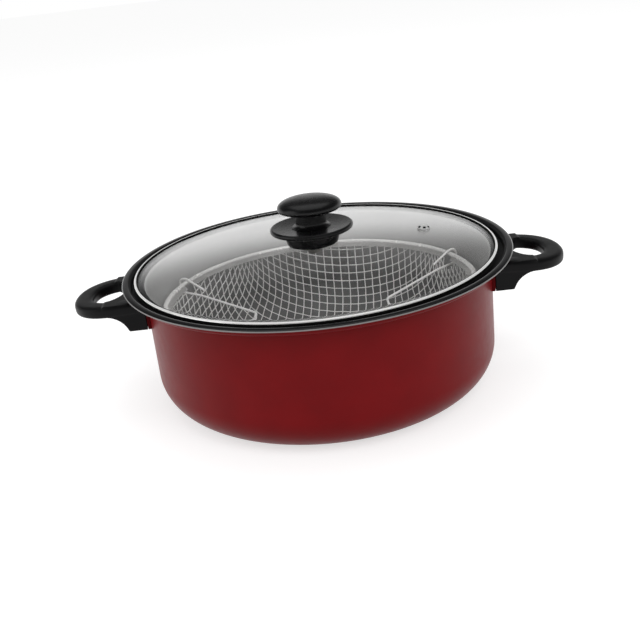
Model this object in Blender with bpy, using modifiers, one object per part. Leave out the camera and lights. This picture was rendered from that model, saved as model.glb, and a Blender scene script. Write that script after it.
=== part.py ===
"""Deep fry pot with a glass lid and a lift-out wire basket.

Metres, +Z up. The origin is the middle of the pot's flat base. The two side
handles lie along X. Every piece is its own object; the lid and the basket
hang on empties that stand on their lifting axes.
"""

import math

import bmesh
import bpy
from mathutils import Matrix, Vector

# Clearances and fineness shared by all pieces
GAP = 0.0003
OVERRUN = 0.010
MERGE = 0.00001
BODY_STEPS = 60
KNOB_STEPS = 32
SMALL_STEPS = 16

# Pot: one drawn aluminium shell with a stepped lid seat and a flat lip
POT_RADIUS = 0.134
POT_HEIGHT = 0.104
WALL = 0.002
FLOOR = 0.0025
BASE_ROUND = 0.029
NECK_ROUND = 0.002
SEAT_DEPTH = 0.0047
LEDGE_WIDTH = 0.0112
LIP_WIDTH = 0.0068
BEND = 0.0005

LEDGE_Z = POT_HEIGHT - SEAT_DEPTH
SEAT_RADIUS = POT_RADIUS - WALL + LEDGE_WIDTH
RIM_RADIUS = SEAT_RADIUS + LIP_WIDTH

# Lid: tempered glass dome in a rolled steel band, lying a little to the left
LID_PLAY = 0.0034
LID_SHIFT = -0.001
BAND_HEIGHT = 0.0055
BAND_SHEET = 0.0006
BAND_HEM = 0.0029
BAND_ROUND = 0.0008
GLASS = 0.0037
DOME_RISE = 0.0094
GLASS_CHAMFER = 0.0005
SCREW_HOLE = 0.0033

BAND_RADIUS = SEAT_RADIUS - LID_PLAY
BAND_Z = LEDGE_Z + GAP
GLASS_RADIUS = BAND_RADIUS - BAND_SHEET - GAP
DOME_RADIUS = BAND_RADIUS - BAND_HEM - GAP
GLASS_Z = BAND_Z + BAND_SHEET + GAP
APEX_Z = GLASS_Z + GLASS + DOME_RISE
DOME_SPHERE = (DOME_RADIUS**2 + DOME_RISE**2) / (2 * DOME_RISE)

# Steam vent: a flanged steel eyelet, square to the glass
VENT_REACH = 0.090
VENT_AZIMUTH = math.radians(12)
VENT_FLANGE = 0.0050
VENT_TUBE = 0.0030
VENT_BORE = 0.0018
VENT_SHEET = 0.0007
VENT_CLINCH = 0.0045

# Knob: seat, skirt and grip of moulded phenolic, held by one screw from below
SEAT_FOOT_RADIUS = 0.0196
SEAT_TOP_RADIUS = 0.0222
SEAT_HEIGHT = 0.0096
MOULDED_EDGE = 0.0008
SKIRT_RADIUS = 0.0321
SKIRT_CENTRE_THICKNESS = 0.0034
SKIRT_RISE = 0.0010
SKIRT_EDGE = 0.0019
STEM_RADIUS = 0.0116
STEM_HEIGHT = 0.0112
STEM_FLARE = 0.0034
CAP_RADIUS = 0.0243
CAP_LOWER = 0.0034
CAP_UPPER = 0.0063
CAP_FULLNESS = 2.4
SCREW_RADIUS = 0.0026
SCREW_HEAD_RADIUS = 0.0050
SCREW_HEAD_HEIGHT = 0.0030
INSERT_RADIUS = 0.0050
INSERT_HEIGHT = 0.0135
GASKET_RADIUS = 0.0090
GASKET_THICKNESS = 0.0015
WASHER_RADIUS = 0.0085
WASHER_THICKNESS = 0.0010

SEAT_Z = APEX_Z + GAP
SKIRT_Z = SEAT_Z + SEAT_HEIGHT + GAP
GRIP_Z = SKIRT_Z + SKIRT_CENTRE_THICKNESS + GAP
CAP_Z = GRIP_Z + STEM_HEIGHT
INSERT_TOP = GRIP_Z + INSERT_HEIGHT

# Basket: woven wire bowl under a rolled steel hem, standing on the pot's floor
BASKET_PLAY = 0.010
HEM_BELOW_LEDGE = 0.0256
HEM_HALF_WIDTH = 0.0021
HEM_HALF_HEIGHT = 0.0016
STRIP_LENGTH = 0.0036
STRIP_FALL = math.radians(43)
STRIP_LOW_ANGLE = -130
STRIP_HIGH_ANGLE = -155
MESH_THICKNESS = 0.0014
MESH_INSET = 0.0020
MESH_TAPER = math.radians(4)
MESH_ROUND = 0.028

HEM_RADIUS = POT_RADIUS - WALL - BASKET_PLAY
BASKET_Z = FLOOR + GAP
HEM_Z = LEDGE_Z - HEM_BELOW_LEDGE
STRIP_WAY = Vector((-math.cos(STRIP_FALL), -math.sin(STRIP_FALL)))
MESH_RADIUS = HEM_RADIUS - MESH_INSET

# Basket handles: two wire bails hooked round the hem, folded inwards at rest
BAIL_WIRE = 0.0010
BAIL_SPREAD = 0.050
HOOK_ROUND = 0.0047
HOOK_SHIFT = 0.0014
HOOK_LOWER = 0.0012
HINGE_OUT = 0.0010
KNEE_IN = 0.0016
KNEE_UP = 0.0029
FINGER_LENGTH = 0.0146
FINGER_DROP = 0.0058
SHOULDER_IN = 0.0100
SHOULDER_NARROWING = 0.0070
SHOULDER_DROP = 0.0054
NOSE_REACH = 0.0623
NOSE_HALF_WIDTH = 0.0075
NOSE_DROP = 0.0124
SHOULDER_ROUND = 0.0060
NOSE_ROUND = 0.0060
KNEE_ROUND = 0.0030
NOTCH_WIDTH = 0.0100
NOTCH_DEPTH = 0.0075
NOTCH_TOP = 0.0005

HINGE_X = math.sqrt(HEM_RADIUS**2 - BAIL_SPREAD**2) + HINGE_OUT
HOOK_AZIMUTH = math.asin(BAIL_SPREAD / HEM_RADIUS)

# Side handles: phenolic loops on brackets welded to the wall
HANDLE_REACH = 0.058
HANDLE_HALF_WIDTH = 0.033
STRAIGHT_RUN = 0.022
HANDLE_FULLNESS = 2.5
HANDLE_BELOW_LIP = 0.0135
HANDLE_DROOP = 0.08
BAR_WIDTH = 0.0116
BAR_THICKNESS = 0.0095
BAR_FULLNESS = 3.0
FOOT_HEIGHT = 0.023
FOOT_DEPTH = 0.0105
FOOT_INSET = 0.0010
FOOT_FILLET = 0.0125
FOOT_EDGE = 0.0012
BRACKET_THICKNESS = 0.0019
BRACKET_HALF_WIDTH = 0.030
BRACKET_MARGIN = 0.0012
BRACKET_HEIGHT = 0.0200
TONGUE_LENGTH = 0.0085
TONGUE_HALF_WIDTH = 0.0080
TONGUE_THICKNESS = 0.0020
TONGUE_RISE = 0.0105
BOLT_RADIUS = 0.0019
BOLT_HEAD_RADIUS = 0.0033
BOLT_HEAD_HEIGHT = 0.0025
BOLT_RECESS = 0.0050
BOLT_PAST_TONGUE = 0.0020
LOCK_WASHER_RADIUS = 0.0036
LOCK_WASHER_THICKNESS = 0.0010

HANDLE_TIP = POT_RADIUS + HANDLE_REACH
HANDLE_STRAIGHT = POT_RADIUS + STRAIGHT_RUN
HANDLE_TOP = POT_HEIGHT - HANDLE_BELOW_LIP
FOOT_BOTTOM = HANDLE_TOP - FOOT_HEIGHT
TONGUE_Z = FOOT_BOTTOM + TONGUE_RISE
BRACKET_RADIUS = POT_RADIUS + GAP
FOOT_RADIUS = BRACKET_RADIUS + BRACKET_THICKNESS + GAP
FOOT_FRONT = FOOT_RADIUS + FOOT_DEPTH
BOLT_X = FOOT_RADIUS + FOOT_DEPTH / 2


def start_clean():
    """Empties the scene and makes the two collections."""
    for obj in list(bpy.data.objects):
        bpy.data.objects.remove(obj, do_unlink=True)
    collections = []
    for name in ("deep_fry_pot", "cutters"):
        collection = bpy.data.collections.new(name)
        bpy.context.scene.collection.children.link(collection)
        collections.append(collection)
    return collections


def make_material(name, colour, roughness, metallic=0.0, transmission=0.0):
    """A Principled BSDF material; the colour is linear red, green and blue."""
    material = bpy.data.materials.new(name)
    material.use_nodes = True
    shader = material.node_tree.nodes["Principled BSDF"]
    shader.inputs["Base Color"].default_value = (*colour, 1)
    shader.inputs["Roughness"].default_value = roughness
    shader.inputs["Metallic"].default_value = metallic
    shader.inputs["Transmission Weight"].default_value = transmission
    return material


parts, cutters = start_clean()
red_enamel = make_material("red_enamel", (0.11, 0.012, 0.013), 0.3)
phenolic = make_material("black_phenolic", (0.009, 0.009, 0.010), 0.4)
tempered_glass = make_material("tempered_glass", (0.9, 0.95, 0.93), 0.02, transmission=1.0)
polished_steel = make_material("polished_steel", (0.75, 0.75, 0.74), 0.2, metallic=1.0)
zinc_steel = make_material("zinc_steel", (0.55, 0.55, 0.53), 0.35, metallic=1.0)
tinned_wire = make_material("tinned_wire", (0.62, 0.61, 0.58), 0.25, metallic=1.0)
brass = make_material("brass", (0.60, 0.42, 0.16), 0.3, metallic=1.0)
silicone = make_material("grey_silicone", (0.22, 0.22, 0.22), 0.6)


def link_part(name, data, material, parent=None):
    """Puts a mesh or a curve in the scene as a named part."""
    obj = bpy.data.objects.new(name, data)
    parts.objects.link(obj)
    if not data.materials:
        data.materials.append(material)
    obj.parent = parent
    return obj


def link_cutter(name, data):
    """Puts a mesh or a curve in the scene as a cutter or guide, left out of the model."""
    obj = bpy.data.objects.new(name, data)
    cutters.objects.link(obj)
    obj.hide_render = True
    obj.display_type = "WIRE"
    return obj


def make_axis(name, place):
    """An empty on a lifting axis, to which the pieces that move with it are parented."""
    empty = bpy.data.objects.new(name, None)
    parts.objects.link(empty)
    empty.location = place
    return empty


def arc(centre, radius, start, end, count):
    """Points of an arc from start to end, in degrees, with both ends."""
    points = []
    for i in range(count + 1):
        angle = math.radians(start + (end - start) * i / count)
        points.append((centre[0] + radius * math.cos(angle), centre[1] + radius * math.sin(angle)))
    return points


def full_quarter(half_x, half_y, fullness, start, end, count):
    """Points of a superellipse about zero; a fullness of 2 is an ellipse, more is squarer."""
    points = []
    for i in range(count + 1):
        angle = math.radians(start + (end - start) * i / count)
        c = math.cos(angle)
        s = math.sin(angle)
        x = half_x * math.copysign(abs(c) ** (2 / fullness), c)
        y = half_y * math.copysign(abs(s) ** (2 / fullness), s)
        points.append((x, y))
    return points


def rounded(points, radii, count):
    """A 3D path with each inner corner replaced by an arc of its own radius."""
    path = [points[0]]
    for before, corner, after, radius in zip(points, points[1:], points[2:], radii):
        to_before = (before - corner).normalized()
        to_after = (after - corner).normalized()
        half = to_before.angle(to_after) / 2
        middle = (to_before + to_after).normalized()
        centre = corner + middle * radius / math.sin(half)
        start = corner + to_before * radius / math.tan(half) - centre
        end = corner + to_after * radius / math.tan(half) - centre
        turn = start.angle(end)
        for i in range(count + 1):
            t = i / count
            path.append(centre + (start * math.sin((1 - t) * turn) + end * math.sin(t * turn)) / math.sin(turn))
    path.append(points[-1])
    return path


def add_turn(obj, steps):
    """Turns an object's profile about its own Z."""
    screw = obj.modifiers.new("turn", "SCREW")
    screw.axis = "Z"
    screw.steps = steps
    screw.render_steps = steps
    screw.use_merge_vertices = True
    screw.merge_threshold = MERGE
    screw.use_smooth_shade = True


def profile_mesh(name, profile, ring):
    """A profile of (radius, height) points in the XZ plane; a ring's profile is closed."""
    mesh = bpy.data.meshes.new(name)
    edges = [(i, i + 1) for i in range(len(profile) - 1)]
    if ring:
        edges.append((len(profile) - 1, 0))
    mesh.from_pydata([(radius, 0, height) for radius, height in profile], edges, [])
    return mesh


def turned(name, profile, steps, material, parent=None, ring=False):
    """A turned part: the profile runs down its outer side, and unless it is a ring ends on the axis."""
    obj = link_part(name, profile_mesh(name, profile, ring), material, parent)
    add_turn(obj, steps)
    return obj


def curve_from(name, loops, cyclic):
    """Curve data with one POLY spline for each loop of points."""
    curve = bpy.data.curves.new(name, "CURVE")
    for loop in loops:
        spline = curve.splines.new("POLY")
        spline.points.add(len(loop) - 1)
        spline.use_cyclic_u = cyclic
        for point, place in zip(spline.points, loop):
            point.co = (*place, 1) if len(place) == 3 else (*place, 0, 1)
    return curve


def outline_curve(name, loop, half_thickness):
    """A flat outline, filled on both sides and extruded."""
    curve = curve_from(name, [loop], cyclic=True)
    curve.dimensions = "2D"
    curve.fill_mode = "BOTH"
    curve.extrude = half_thickness
    return curve


def baked(obj):
    """The evaluated object's mesh in world space, caps welded and faces outwards; the object is removed."""
    bpy.context.view_layer.update()
    depsgraph = bpy.context.evaluated_depsgraph_get()
    mesh = bpy.data.meshes.new_from_object(obj.evaluated_get(depsgraph), depsgraph=depsgraph)
    mesh.transform(obj.matrix_world)
    work = bmesh.new()
    work.from_mesh(mesh)
    bmesh.ops.remove_doubles(work, verts=work.verts, dist=MERGE)
    bmesh.ops.recalc_face_normals(work, faces=work.faces)
    work.to_mesh(mesh)
    work.free()
    bpy.data.objects.remove(obj, do_unlink=True)
    return mesh


def add_boolean(obj, other, operation):
    """Cuts or joins another object's solid."""
    boolean = obj.modifiers.new(operation.lower(), "BOOLEAN")
    boolean.operation = operation
    boolean.solver = "EXACT"
    boolean.object = other


def block_mesh(name, low, high):
    """A box between two corners."""
    mesh = bpy.data.meshes.new(name)
    work = bmesh.new()
    size = [b - a for a, b in zip(low, high)]
    middle = [(a + b) / 2 for a, b in zip(low, high)]
    bmesh.ops.create_cube(work, size=1, matrix=Matrix.Translation(middle) @ Matrix.Diagonal((*size, 1)))
    work.to_mesh(mesh)
    work.free()
    return mesh


def rod_mesh(name, radius, low, high, steps):
    """An upright cylinder about the origin's axis, between two heights."""
    mesh = bpy.data.meshes.new(name)
    work = bmesh.new()
    middle = Matrix.Translation((0, 0, (low + high) / 2))
    bmesh.ops.create_cone(
        work, cap_ends=True, segments=steps, radius1=radius, radius2=radius, depth=high - low, matrix=middle
    )
    work.to_mesh(mesh)
    work.free()
    return mesh


def pot_profile():
    """The pot's section, up the inside from the floor's middle and down the outside to the base's middle."""
    base_r = POT_RADIUS - BASE_ROUND
    inner_round = BASE_ROUND - WALL
    neck = (POT_RADIUS + NECK_ROUND, LEDGE_Z - WALL - NECK_ROUND)
    seat_corner = (SEAT_RADIUS - BEND, LEDGE_Z + BEND)
    lip_corner = (SEAT_RADIUS + WALL + BEND, POT_HEIGHT - WALL - BEND)
    edge = (RIM_RADIUS - WALL / 2, POT_HEIGHT - WALL / 2)
    profile = [(0, FLOOR)]
    profile += arc((base_r, FLOOR + inner_round), inner_round, -90, 0, 5)
    profile += arc(neck, NECK_ROUND + WALL, 180, 90, 3)
    profile += arc(seat_corner, BEND, -90, 0, 1)
    profile += arc(lip_corner, BEND + WALL, 180, 90, 2)
    profile += arc(edge, WALL / 2, 90, -90, 4)
    profile += arc(lip_corner, BEND, 90, 180, 1)
    profile += arc(seat_corner, BEND + WALL, 0, -90, 2)
    profile += arc(neck, NECK_ROUND, 90, 180, 2)
    profile += arc((base_r, BASE_ROUND), BASE_ROUND, 0, -90, 6)
    profile.append((0, 0))
    return profile


turned("pot_shell", pot_profile(), BODY_STEPS, red_enamel)


def bracket_mesh():
    """A curved plate on the wall with a tongue that reaches into the handle's foot."""
    half_angle = math.degrees(math.asin(BRACKET_HALF_WIDTH / BRACKET_RADIUS))
    inner = arc((0, 0), BRACKET_RADIUS, -half_angle, half_angle, 8)
    outer = arc((0, 0), BRACKET_RADIUS + BRACKET_THICKNESS, half_angle, -half_angle, 8)
    plate_curve = outline_curve("bracket_plate", inner + outer, BRACKET_HEIGHT / 2)
    plate = link_cutter("bracket_plate", plate_curve)
    plate.location.z = FOOT_BOTTOM + BRACKET_MARGIN + BRACKET_HEIGHT / 2
    solid = link_cutter("bracket_solid", baked(plate))
    reach = BRACKET_RADIUS + BRACKET_THICKNESS
    low = (reach - BRACKET_THICKNESS / 2, -TONGUE_HALF_WIDTH, TONGUE_Z - TONGUE_THICKNESS / 2)
    high = (reach + TONGUE_LENGTH, TONGUE_HALF_WIDTH, TONGUE_Z + TONGUE_THICKNESS / 2)
    tongue = link_cutter("bracket_tongue", block_mesh("bracket_tongue", low, high))
    hole_mesh = rod_mesh("bracket_hole", BOLT_RADIUS + GAP, low[2] - OVERRUN, high[2] + OVERRUN, SMALL_STEPS)
    hole = link_cutter("bracket_hole", hole_mesh)
    hole.location.x = BOLT_X
    add_boolean(solid, tongue, "UNION")
    add_boolean(solid, hole, "DIFFERENCE")
    return baked(solid)


def bar_section():
    """The guide whose outline the handle's bar follows."""
    loop = full_quarter(BAR_WIDTH / 2, BAR_THICKNESS / 2, BAR_FULLNESS, 0, 360, 12)[:-1]
    curve = curve_from("bar_section", [loop], cyclic=True)
    curve.dimensions = "2D"
    return link_cutter("bar_section", curve)


def bar_mesh():
    """The handle's loop: one bar swept from the foot round the tip and back, drooping outwards."""
    half_width = HANDLE_HALF_WIDTH - BAR_WIDTH / 2
    reach = HANDLE_TIP - BAR_WIDTH / 2 - HANDLE_STRAIGHT
    bend = full_quarter(reach, half_width, HANDLE_FULLNESS, -90, 90, 16)
    path = [(POT_RADIUS, -half_width)]
    path += [(HANDLE_STRAIGHT + x, y) for x, y in bend]
    path.append((POT_RADIUS, half_width))
    curve = curve_from("handle_bar", [path], cyclic=False)
    curve.dimensions = "2D"
    curve.bevel_mode = "OBJECT"
    curve.bevel_object = bar_section()
    curve.use_fill_caps = True
    mesh = baked(link_cutter("handle_bar", curve))
    droop = Matrix.Identity(4)
    droop[2][0] = -HANDLE_DROOP
    lift = Matrix.Translation((0, 0, HANDLE_TOP - BAR_THICKNESS / 2 + HANDLE_DROOP * FOOT_RADIUS))
    mesh.transform(lift @ droop)
    return mesh


def foot_mesh():
    """The handle's foot: its side outline, with the fillet up to the bar, extruded across the handle."""
    under_bar = HANDLE_TOP - BAR_THICKNESS
    top = HANDLE_TOP - BAR_THICKNESS / 2
    fillet_x = FOOT_FRONT + FOOT_FILLET
    loop = [(POT_RADIUS, FOOT_BOTTOM), (FOOT_FRONT, FOOT_BOTTOM)]
    loop += arc((fillet_x, under_bar - FOOT_FILLET), FOOT_FILLET, 180, 90, 6)
    loop += [(fillet_x, top), (POT_RADIUS, top)]
    half_width = HANDLE_HALF_WIDTH - FOOT_INSET
    foot = link_cutter("foot_outline", outline_curve("foot_outline", loop, half_width))
    foot.rotation_euler.x = math.pi / 2
    solid = link_cutter("foot_solid", baked(foot))
    bevel = solid.modifiers.new("moulded_edge", "BEVEL")
    bevel.width = FOOT_EDGE
    bevel.segments = 2
    bevel.limit_method = "ANGLE"
    bevel.angle_limit = math.radians(60)
    return baked(solid)


def handle_mesh():
    """Bar and foot as one moulding, fitted to the bracket, with its slot and bolt holes."""
    solid = link_cutter("handle_solid", bar_mesh())
    foot = link_cutter("handle_foot", foot_mesh())
    hole_half = HANDLE_HALF_WIDTH - BAR_WIDTH + FOOT_INSET
    low = (FOOT_FRONT, -hole_half, FOOT_BOTTOM - OVERRUN)
    high = (HANDLE_TIP, hole_half, HANDLE_TOP + OVERRUN)
    finger_hole = link_cutter("finger_hole", block_mesh("finger_hole", low, high))
    wall_mesh = rod_mesh("wall_fit", FOOT_RADIUS, FOOT_BOTTOM - OVERRUN, HANDLE_TOP + OVERRUN, BODY_STEPS * 2)
    wall = link_cutter("wall_fit", wall_mesh)
    half = TONGUE_HALF_WIDTH + GAP
    slot_end = BRACKET_RADIUS + BRACKET_THICKNESS + TONGUE_LENGTH + GAP
    slot_half = TONGUE_THICKNESS / 2 + GAP
    low = (POT_RADIUS, -half, TONGUE_Z - slot_half)
    high = (slot_end, half, TONGUE_Z + slot_half)
    slot = link_cutter("tongue_slot", block_mesh("tongue_slot", low, high))
    top = TONGUE_Z + TONGUE_THICKNESS / 2 + BOLT_PAST_TONGUE + GAP
    hole = link_cutter("bolt_hole", rod_mesh("bolt_hole", BOLT_RADIUS + GAP, FOOT_BOTTOM - OVERRUN, top, SMALL_STEPS))
    recess_top = FOOT_BOTTOM + BOLT_RECESS
    recess_radius = LOCK_WASHER_RADIUS + GAP
    recess_mesh = rod_mesh("bolt_recess", recess_radius, FOOT_BOTTOM - OVERRUN, recess_top, SMALL_STEPS)
    recess = link_cutter("bolt_recess", recess_mesh)
    hole.location.x = BOLT_X
    recess.location.x = BOLT_X
    add_boolean(foot, finger_hole, "DIFFERENCE")
    add_boolean(solid, foot, "UNION")
    for cutter in (wall, slot, hole, recess):
        add_boolean(solid, cutter, "DIFFERENCE")
    return baked(solid)


def bolt_profiles():
    """Sections of the handle's bolt and of its lock washer, seated in the foot's recess."""
    washer_top = FOOT_BOTTOM + BOLT_RECESS - GAP
    washer_low = washer_top - LOCK_WASHER_THICKNESS
    head_top = washer_low - GAP
    end = TONGUE_Z + TONGUE_THICKNESS / 2 + BOLT_PAST_TONGUE
    bolt = [(0, end), (BOLT_RADIUS, end), (BOLT_RADIUS, head_top), (BOLT_HEAD_RADIUS, head_top)]
    bolt += arc(
        (BOLT_HEAD_RADIUS - BOLT_HEAD_HEIGHT / 2, head_top - BOLT_HEAD_HEIGHT / 2), BOLT_HEAD_HEIGHT / 2, 0, -90, 3
    )
    bolt.append((0, head_top - BOLT_HEAD_HEIGHT))
    bore = BOLT_RADIUS + GAP
    washer = [(bore, washer_top), (LOCK_WASHER_RADIUS, washer_top)]
    washer += [(LOCK_WASHER_RADIUS, washer_low), (bore, washer_low)]
    return bolt, washer


def make_side_handles():
    """Bracket, handle, bolt and lock washer on the right, and the same turned round on the left."""
    bracket = bracket_mesh()
    handle = handle_mesh()
    bolt, washer = bolt_profiles()
    for side, turn in (("right", 0), ("left", math.pi)):
        link_part("handle_bracket_" + side, bracket, red_enamel).rotation_euler.z = turn
        link_part("side_handle_" + side, handle, phenolic).rotation_euler.z = turn
        place = (BOLT_X * math.cos(turn), 0, 0)
        turned("handle_screw_" + side, bolt, SMALL_STEPS, zinc_steel).location = place
        turned("handle_washer_" + side, washer, SMALL_STEPS, zinc_steel, ring=True).location = place


make_side_handles()
lid_axis = make_axis("lid_axis", (LID_SHIFT, 0, 0))


def dome_z(radius):
    """Height of the glass's upper face at a radius."""
    return APEX_Z - DOME_SPHERE + math.sqrt(DOME_SPHERE**2 - radius**2)


def band_profile():
    """The steel band's C section, open inwards, with the glass's edge between its hems."""
    top = BAND_Z + BAND_HEIGHT
    inner = BAND_RADIUS - BAND_HEM
    profile = [(inner, top)]
    profile += arc((BAND_RADIUS - BAND_ROUND, top - BAND_ROUND), BAND_ROUND, 90, 0, 2)
    profile += arc((BAND_RADIUS - BAND_ROUND, BAND_Z + BAND_ROUND), BAND_ROUND, 0, -90, 2)
    profile += [(inner, BAND_Z), (inner, BAND_Z + BAND_SHEET)]
    profile += [(BAND_RADIUS - BAND_SHEET, BAND_Z + BAND_SHEET), (BAND_RADIUS - BAND_SHEET, top - BAND_SHEET)]
    profile.append((inner, top - BAND_SHEET))
    return profile


def glass_profile():
    """The glass's section: a domed sheet with a flat chamfered edge and the screw's hole."""
    count = 4
    radii = [SCREW_HOLE + (DOME_RADIUS - SCREW_HOLE) * i / count for i in range(count + 1)]
    top = GLASS_Z + GLASS
    profile = [(radius, dome_z(radius)) for radius in radii]
    profile += [(GLASS_RADIUS - GLASS_CHAMFER, top), (GLASS_RADIUS, top - GLASS_CHAMFER)]
    profile += [(GLASS_RADIUS, GLASS_Z + GLASS_CHAMFER), (GLASS_RADIUS - GLASS_CHAMFER, GLASS_Z)]
    profile += [(radius, dome_z(radius) - GLASS) for radius in reversed(radii)]
    return profile


def make_lid():
    """Glass, band and vent eyelet."""
    glass = turned("lid_glass", glass_profile(), BODY_STEPS, tempered_glass, lid_axis, ring=True)
    turned("lid_rim_band", band_profile(), BODY_STEPS, polished_steel, lid_axis, ring=True)
    tilt = math.asin(VENT_REACH / DOME_SPHERE)
    place = (VENT_REACH * math.cos(VENT_AZIMUTH), VENT_REACH * math.sin(VENT_AZIMUTH), dome_z(VENT_REACH))
    hole_mesh = rod_mesh("vent_hole", VENT_TUBE + GAP, -OVERRUN, OVERRUN, SMALL_STEPS)
    hole = link_cutter("vent_hole", hole_mesh)
    hole.parent = lid_axis
    upper = GAP + VENT_SHEET
    lower = -GLASS - GAP
    profile = [(VENT_BORE, upper), (VENT_FLANGE - VENT_SHEET / 2, upper), (VENT_FLANGE, GAP), (VENT_TUBE, GAP)]
    profile += [(VENT_TUBE, lower), (VENT_CLINCH, lower), (VENT_CLINCH, lower - VENT_SHEET)]
    profile.append((VENT_BORE, lower - VENT_SHEET))
    eyelet = turned("vent_eyelet", profile, SMALL_STEPS, polished_steel, lid_axis, ring=True)
    for obj in (hole, eyelet):
        obj.location = place
        obj.rotation_euler = (0, tilt, VENT_AZIMUTH)
    add_boolean(glass, hole, "DIFFERENCE")


def skirt_profile():
    """The knob's skirt: a flat disc that rises a little to a rounded edge."""
    bore = SCREW_RADIUS + GAP
    flat = SEAT_TOP_RADIUS
    edge = (SKIRT_RADIUS - SKIRT_EDGE, SKIRT_Z + SKIRT_CENTRE_THICKNESS + SKIRT_RISE - SKIRT_EDGE)
    profile = [(bore, SKIRT_Z + SKIRT_CENTRE_THICKNESS), (flat, SKIRT_Z + SKIRT_CENTRE_THICKNESS)]
    profile += arc(edge, SKIRT_EDGE, 90, -90, 6)
    profile += [(flat, SKIRT_Z), (bore, SKIRT_Z)]
    return profile


def grip_profile():
    """The knob's grip: a full cap on a waisted stem, with the brass insert's pocket below."""
    flare_z = GRIP_Z + STEM_FLARE
    profile = [(0, CAP_Z + CAP_LOWER + CAP_UPPER)]
    upper = full_quarter(CAP_RADIUS, CAP_UPPER, CAP_FULLNESS, 90, 0, 6)[1:]
    lower = full_quarter(CAP_RADIUS, CAP_LOWER, CAP_FULLNESS, 0, -75, 3)[1:]
    profile += [(x, CAP_Z + CAP_LOWER + y) for x, y in upper]
    profile += [(x, CAP_Z + CAP_LOWER + y) for x, y in lower]
    profile.append((STEM_RADIUS, CAP_Z))
    profile += arc((STEM_RADIUS + STEM_FLARE, flare_z), STEM_FLARE, 180, 270, 4)
    pocket = INSERT_RADIUS + GAP
    profile += [(pocket, GRIP_Z), (pocket, INSERT_TOP + GAP), (0, INSERT_TOP + GAP)]
    return profile


def make_knob():
    """Seat, skirt, grip and insert above the glass; gasket, washer and screw below it."""
    bore = SCREW_RADIUS + GAP
    top = SEAT_Z + SEAT_HEIGHT
    seat = [(bore, top), (SEAT_TOP_RADIUS - MOULDED_EDGE, top), (SEAT_TOP_RADIUS, top - MOULDED_EDGE)]
    seat += [(SEAT_FOOT_RADIUS, SEAT_Z + MOULDED_EDGE), (SEAT_FOOT_RADIUS - MOULDED_EDGE, SEAT_Z), (bore, SEAT_Z)]
    turned("knob_seat", seat, KNOB_STEPS, phenolic, lid_axis, ring=True)
    turned("knob_skirt", skirt_profile(), KNOB_STEPS, phenolic, lid_axis, ring=True)
    turned("knob_grip", grip_profile(), KNOB_STEPS, phenolic, lid_axis)
    insert = [(bore, INSERT_TOP), (INSERT_RADIUS, INSERT_TOP), (INSERT_RADIUS, GRIP_Z), (bore, GRIP_Z)]
    turned("knob_insert", insert, SMALL_STEPS, brass, lid_axis, ring=True)
    gasket_top = dome_z(GASKET_RADIUS) - GLASS - GAP
    gasket_low = gasket_top - GASKET_THICKNESS
    gasket = [(bore, gasket_top), (GASKET_RADIUS, gasket_top), (GASKET_RADIUS, gasket_low), (bore, gasket_low)]
    turned("lid_gasket", gasket, SMALL_STEPS, silicone, lid_axis, ring=True)
    washer_top = gasket_low - GAP
    washer_low = washer_top - WASHER_THICKNESS
    washer = [(bore, washer_top), (WASHER_RADIUS, washer_top), (WASHER_RADIUS, washer_low), (bore, washer_low)]
    turned("lid_washer", washer, SMALL_STEPS, zinc_steel, lid_axis, ring=True)
    head_top = washer_low - GAP
    head_low = head_top - SCREW_HEAD_HEIGHT
    end = INSERT_TOP - SCREW_RADIUS
    screw = [(0, end), (SCREW_RADIUS, end), (SCREW_RADIUS, head_top), (SCREW_HEAD_RADIUS, head_top)]
    screw += [(SCREW_HEAD_RADIUS, head_low + MOULDED_EDGE), (SCREW_HEAD_RADIUS - MOULDED_EDGE, head_low), (0, head_low)]
    turned("knob_screw", screw, SMALL_STEPS, zinc_steel, lid_axis)


make_lid()
make_knob()
basket_axis = make_axis("basket_axis", (0, 0, 0))


def hem_point(angle):
    """A point of the hem's oval section, by its angle in degrees."""
    x = HEM_RADIUS + HEM_HALF_WIDTH * math.cos(math.radians(angle))
    z = HEM_Z + HEM_HALF_HEIGHT * math.sin(math.radians(angle))
    return Vector((x, z))


def hem_profile():
    """The hem's section: an oval roll with a flat strip slanting in and down from it."""
    count = 9
    start = 360 + STRIP_HIGH_ANGLE
    profile = [hem_point(start + (STRIP_LOW_ANGLE - start) * i / count) for i in range(count + 1)]
    profile.append(hem_point(STRIP_LOW_ANGLE) + STRIP_WAY * STRIP_LENGTH)
    profile.append(hem_point(STRIP_HIGH_ANGLE) + STRIP_WAY * STRIP_LENGTH)
    return [tuple(point) for point in profile]


def strip_under(radius):
    """Height of the strip's underside at a radius."""
    root = hem_point(STRIP_LOW_ANGLE)
    return root.y - (root.x - radius) * math.tan(STRIP_FALL)


def mesh_profile():
    """The woven bowl's section as one thin sheet, its top edge laid against the strip."""
    lean = Vector((math.cos(MESH_TAPER), -math.sin(MESH_TAPER)))
    down = Vector((-math.sin(MESH_TAPER), -math.cos(MESH_TAPER)))
    top = Vector((MESH_RADIUS, strip_under(MESH_RADIUS) - GAP))
    centre_z = BASKET_Z + MESH_ROUND
    run = (top.y - centre_z + MESH_ROUND * math.sin(MESH_TAPER)) / math.cos(MESH_TAPER)
    centre = top + down * run - lean * MESH_ROUND
    inner_radius = MESH_RADIUS - MESH_THICKNESS
    taper = math.degrees(MESH_TAPER)
    profile = [(0, BASKET_Z + MESH_THICKNESS)]
    profile += arc(centre, MESH_ROUND - MESH_THICKNESS, -90, -taper, 5)
    profile.append((inner_radius, strip_under(inner_radius) - GAP))
    profile.append(tuple(top))
    profile += arc(centre, MESH_ROUND, -taper, -90, 5)
    profile.append((0, BASKET_Z))
    return profile


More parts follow.
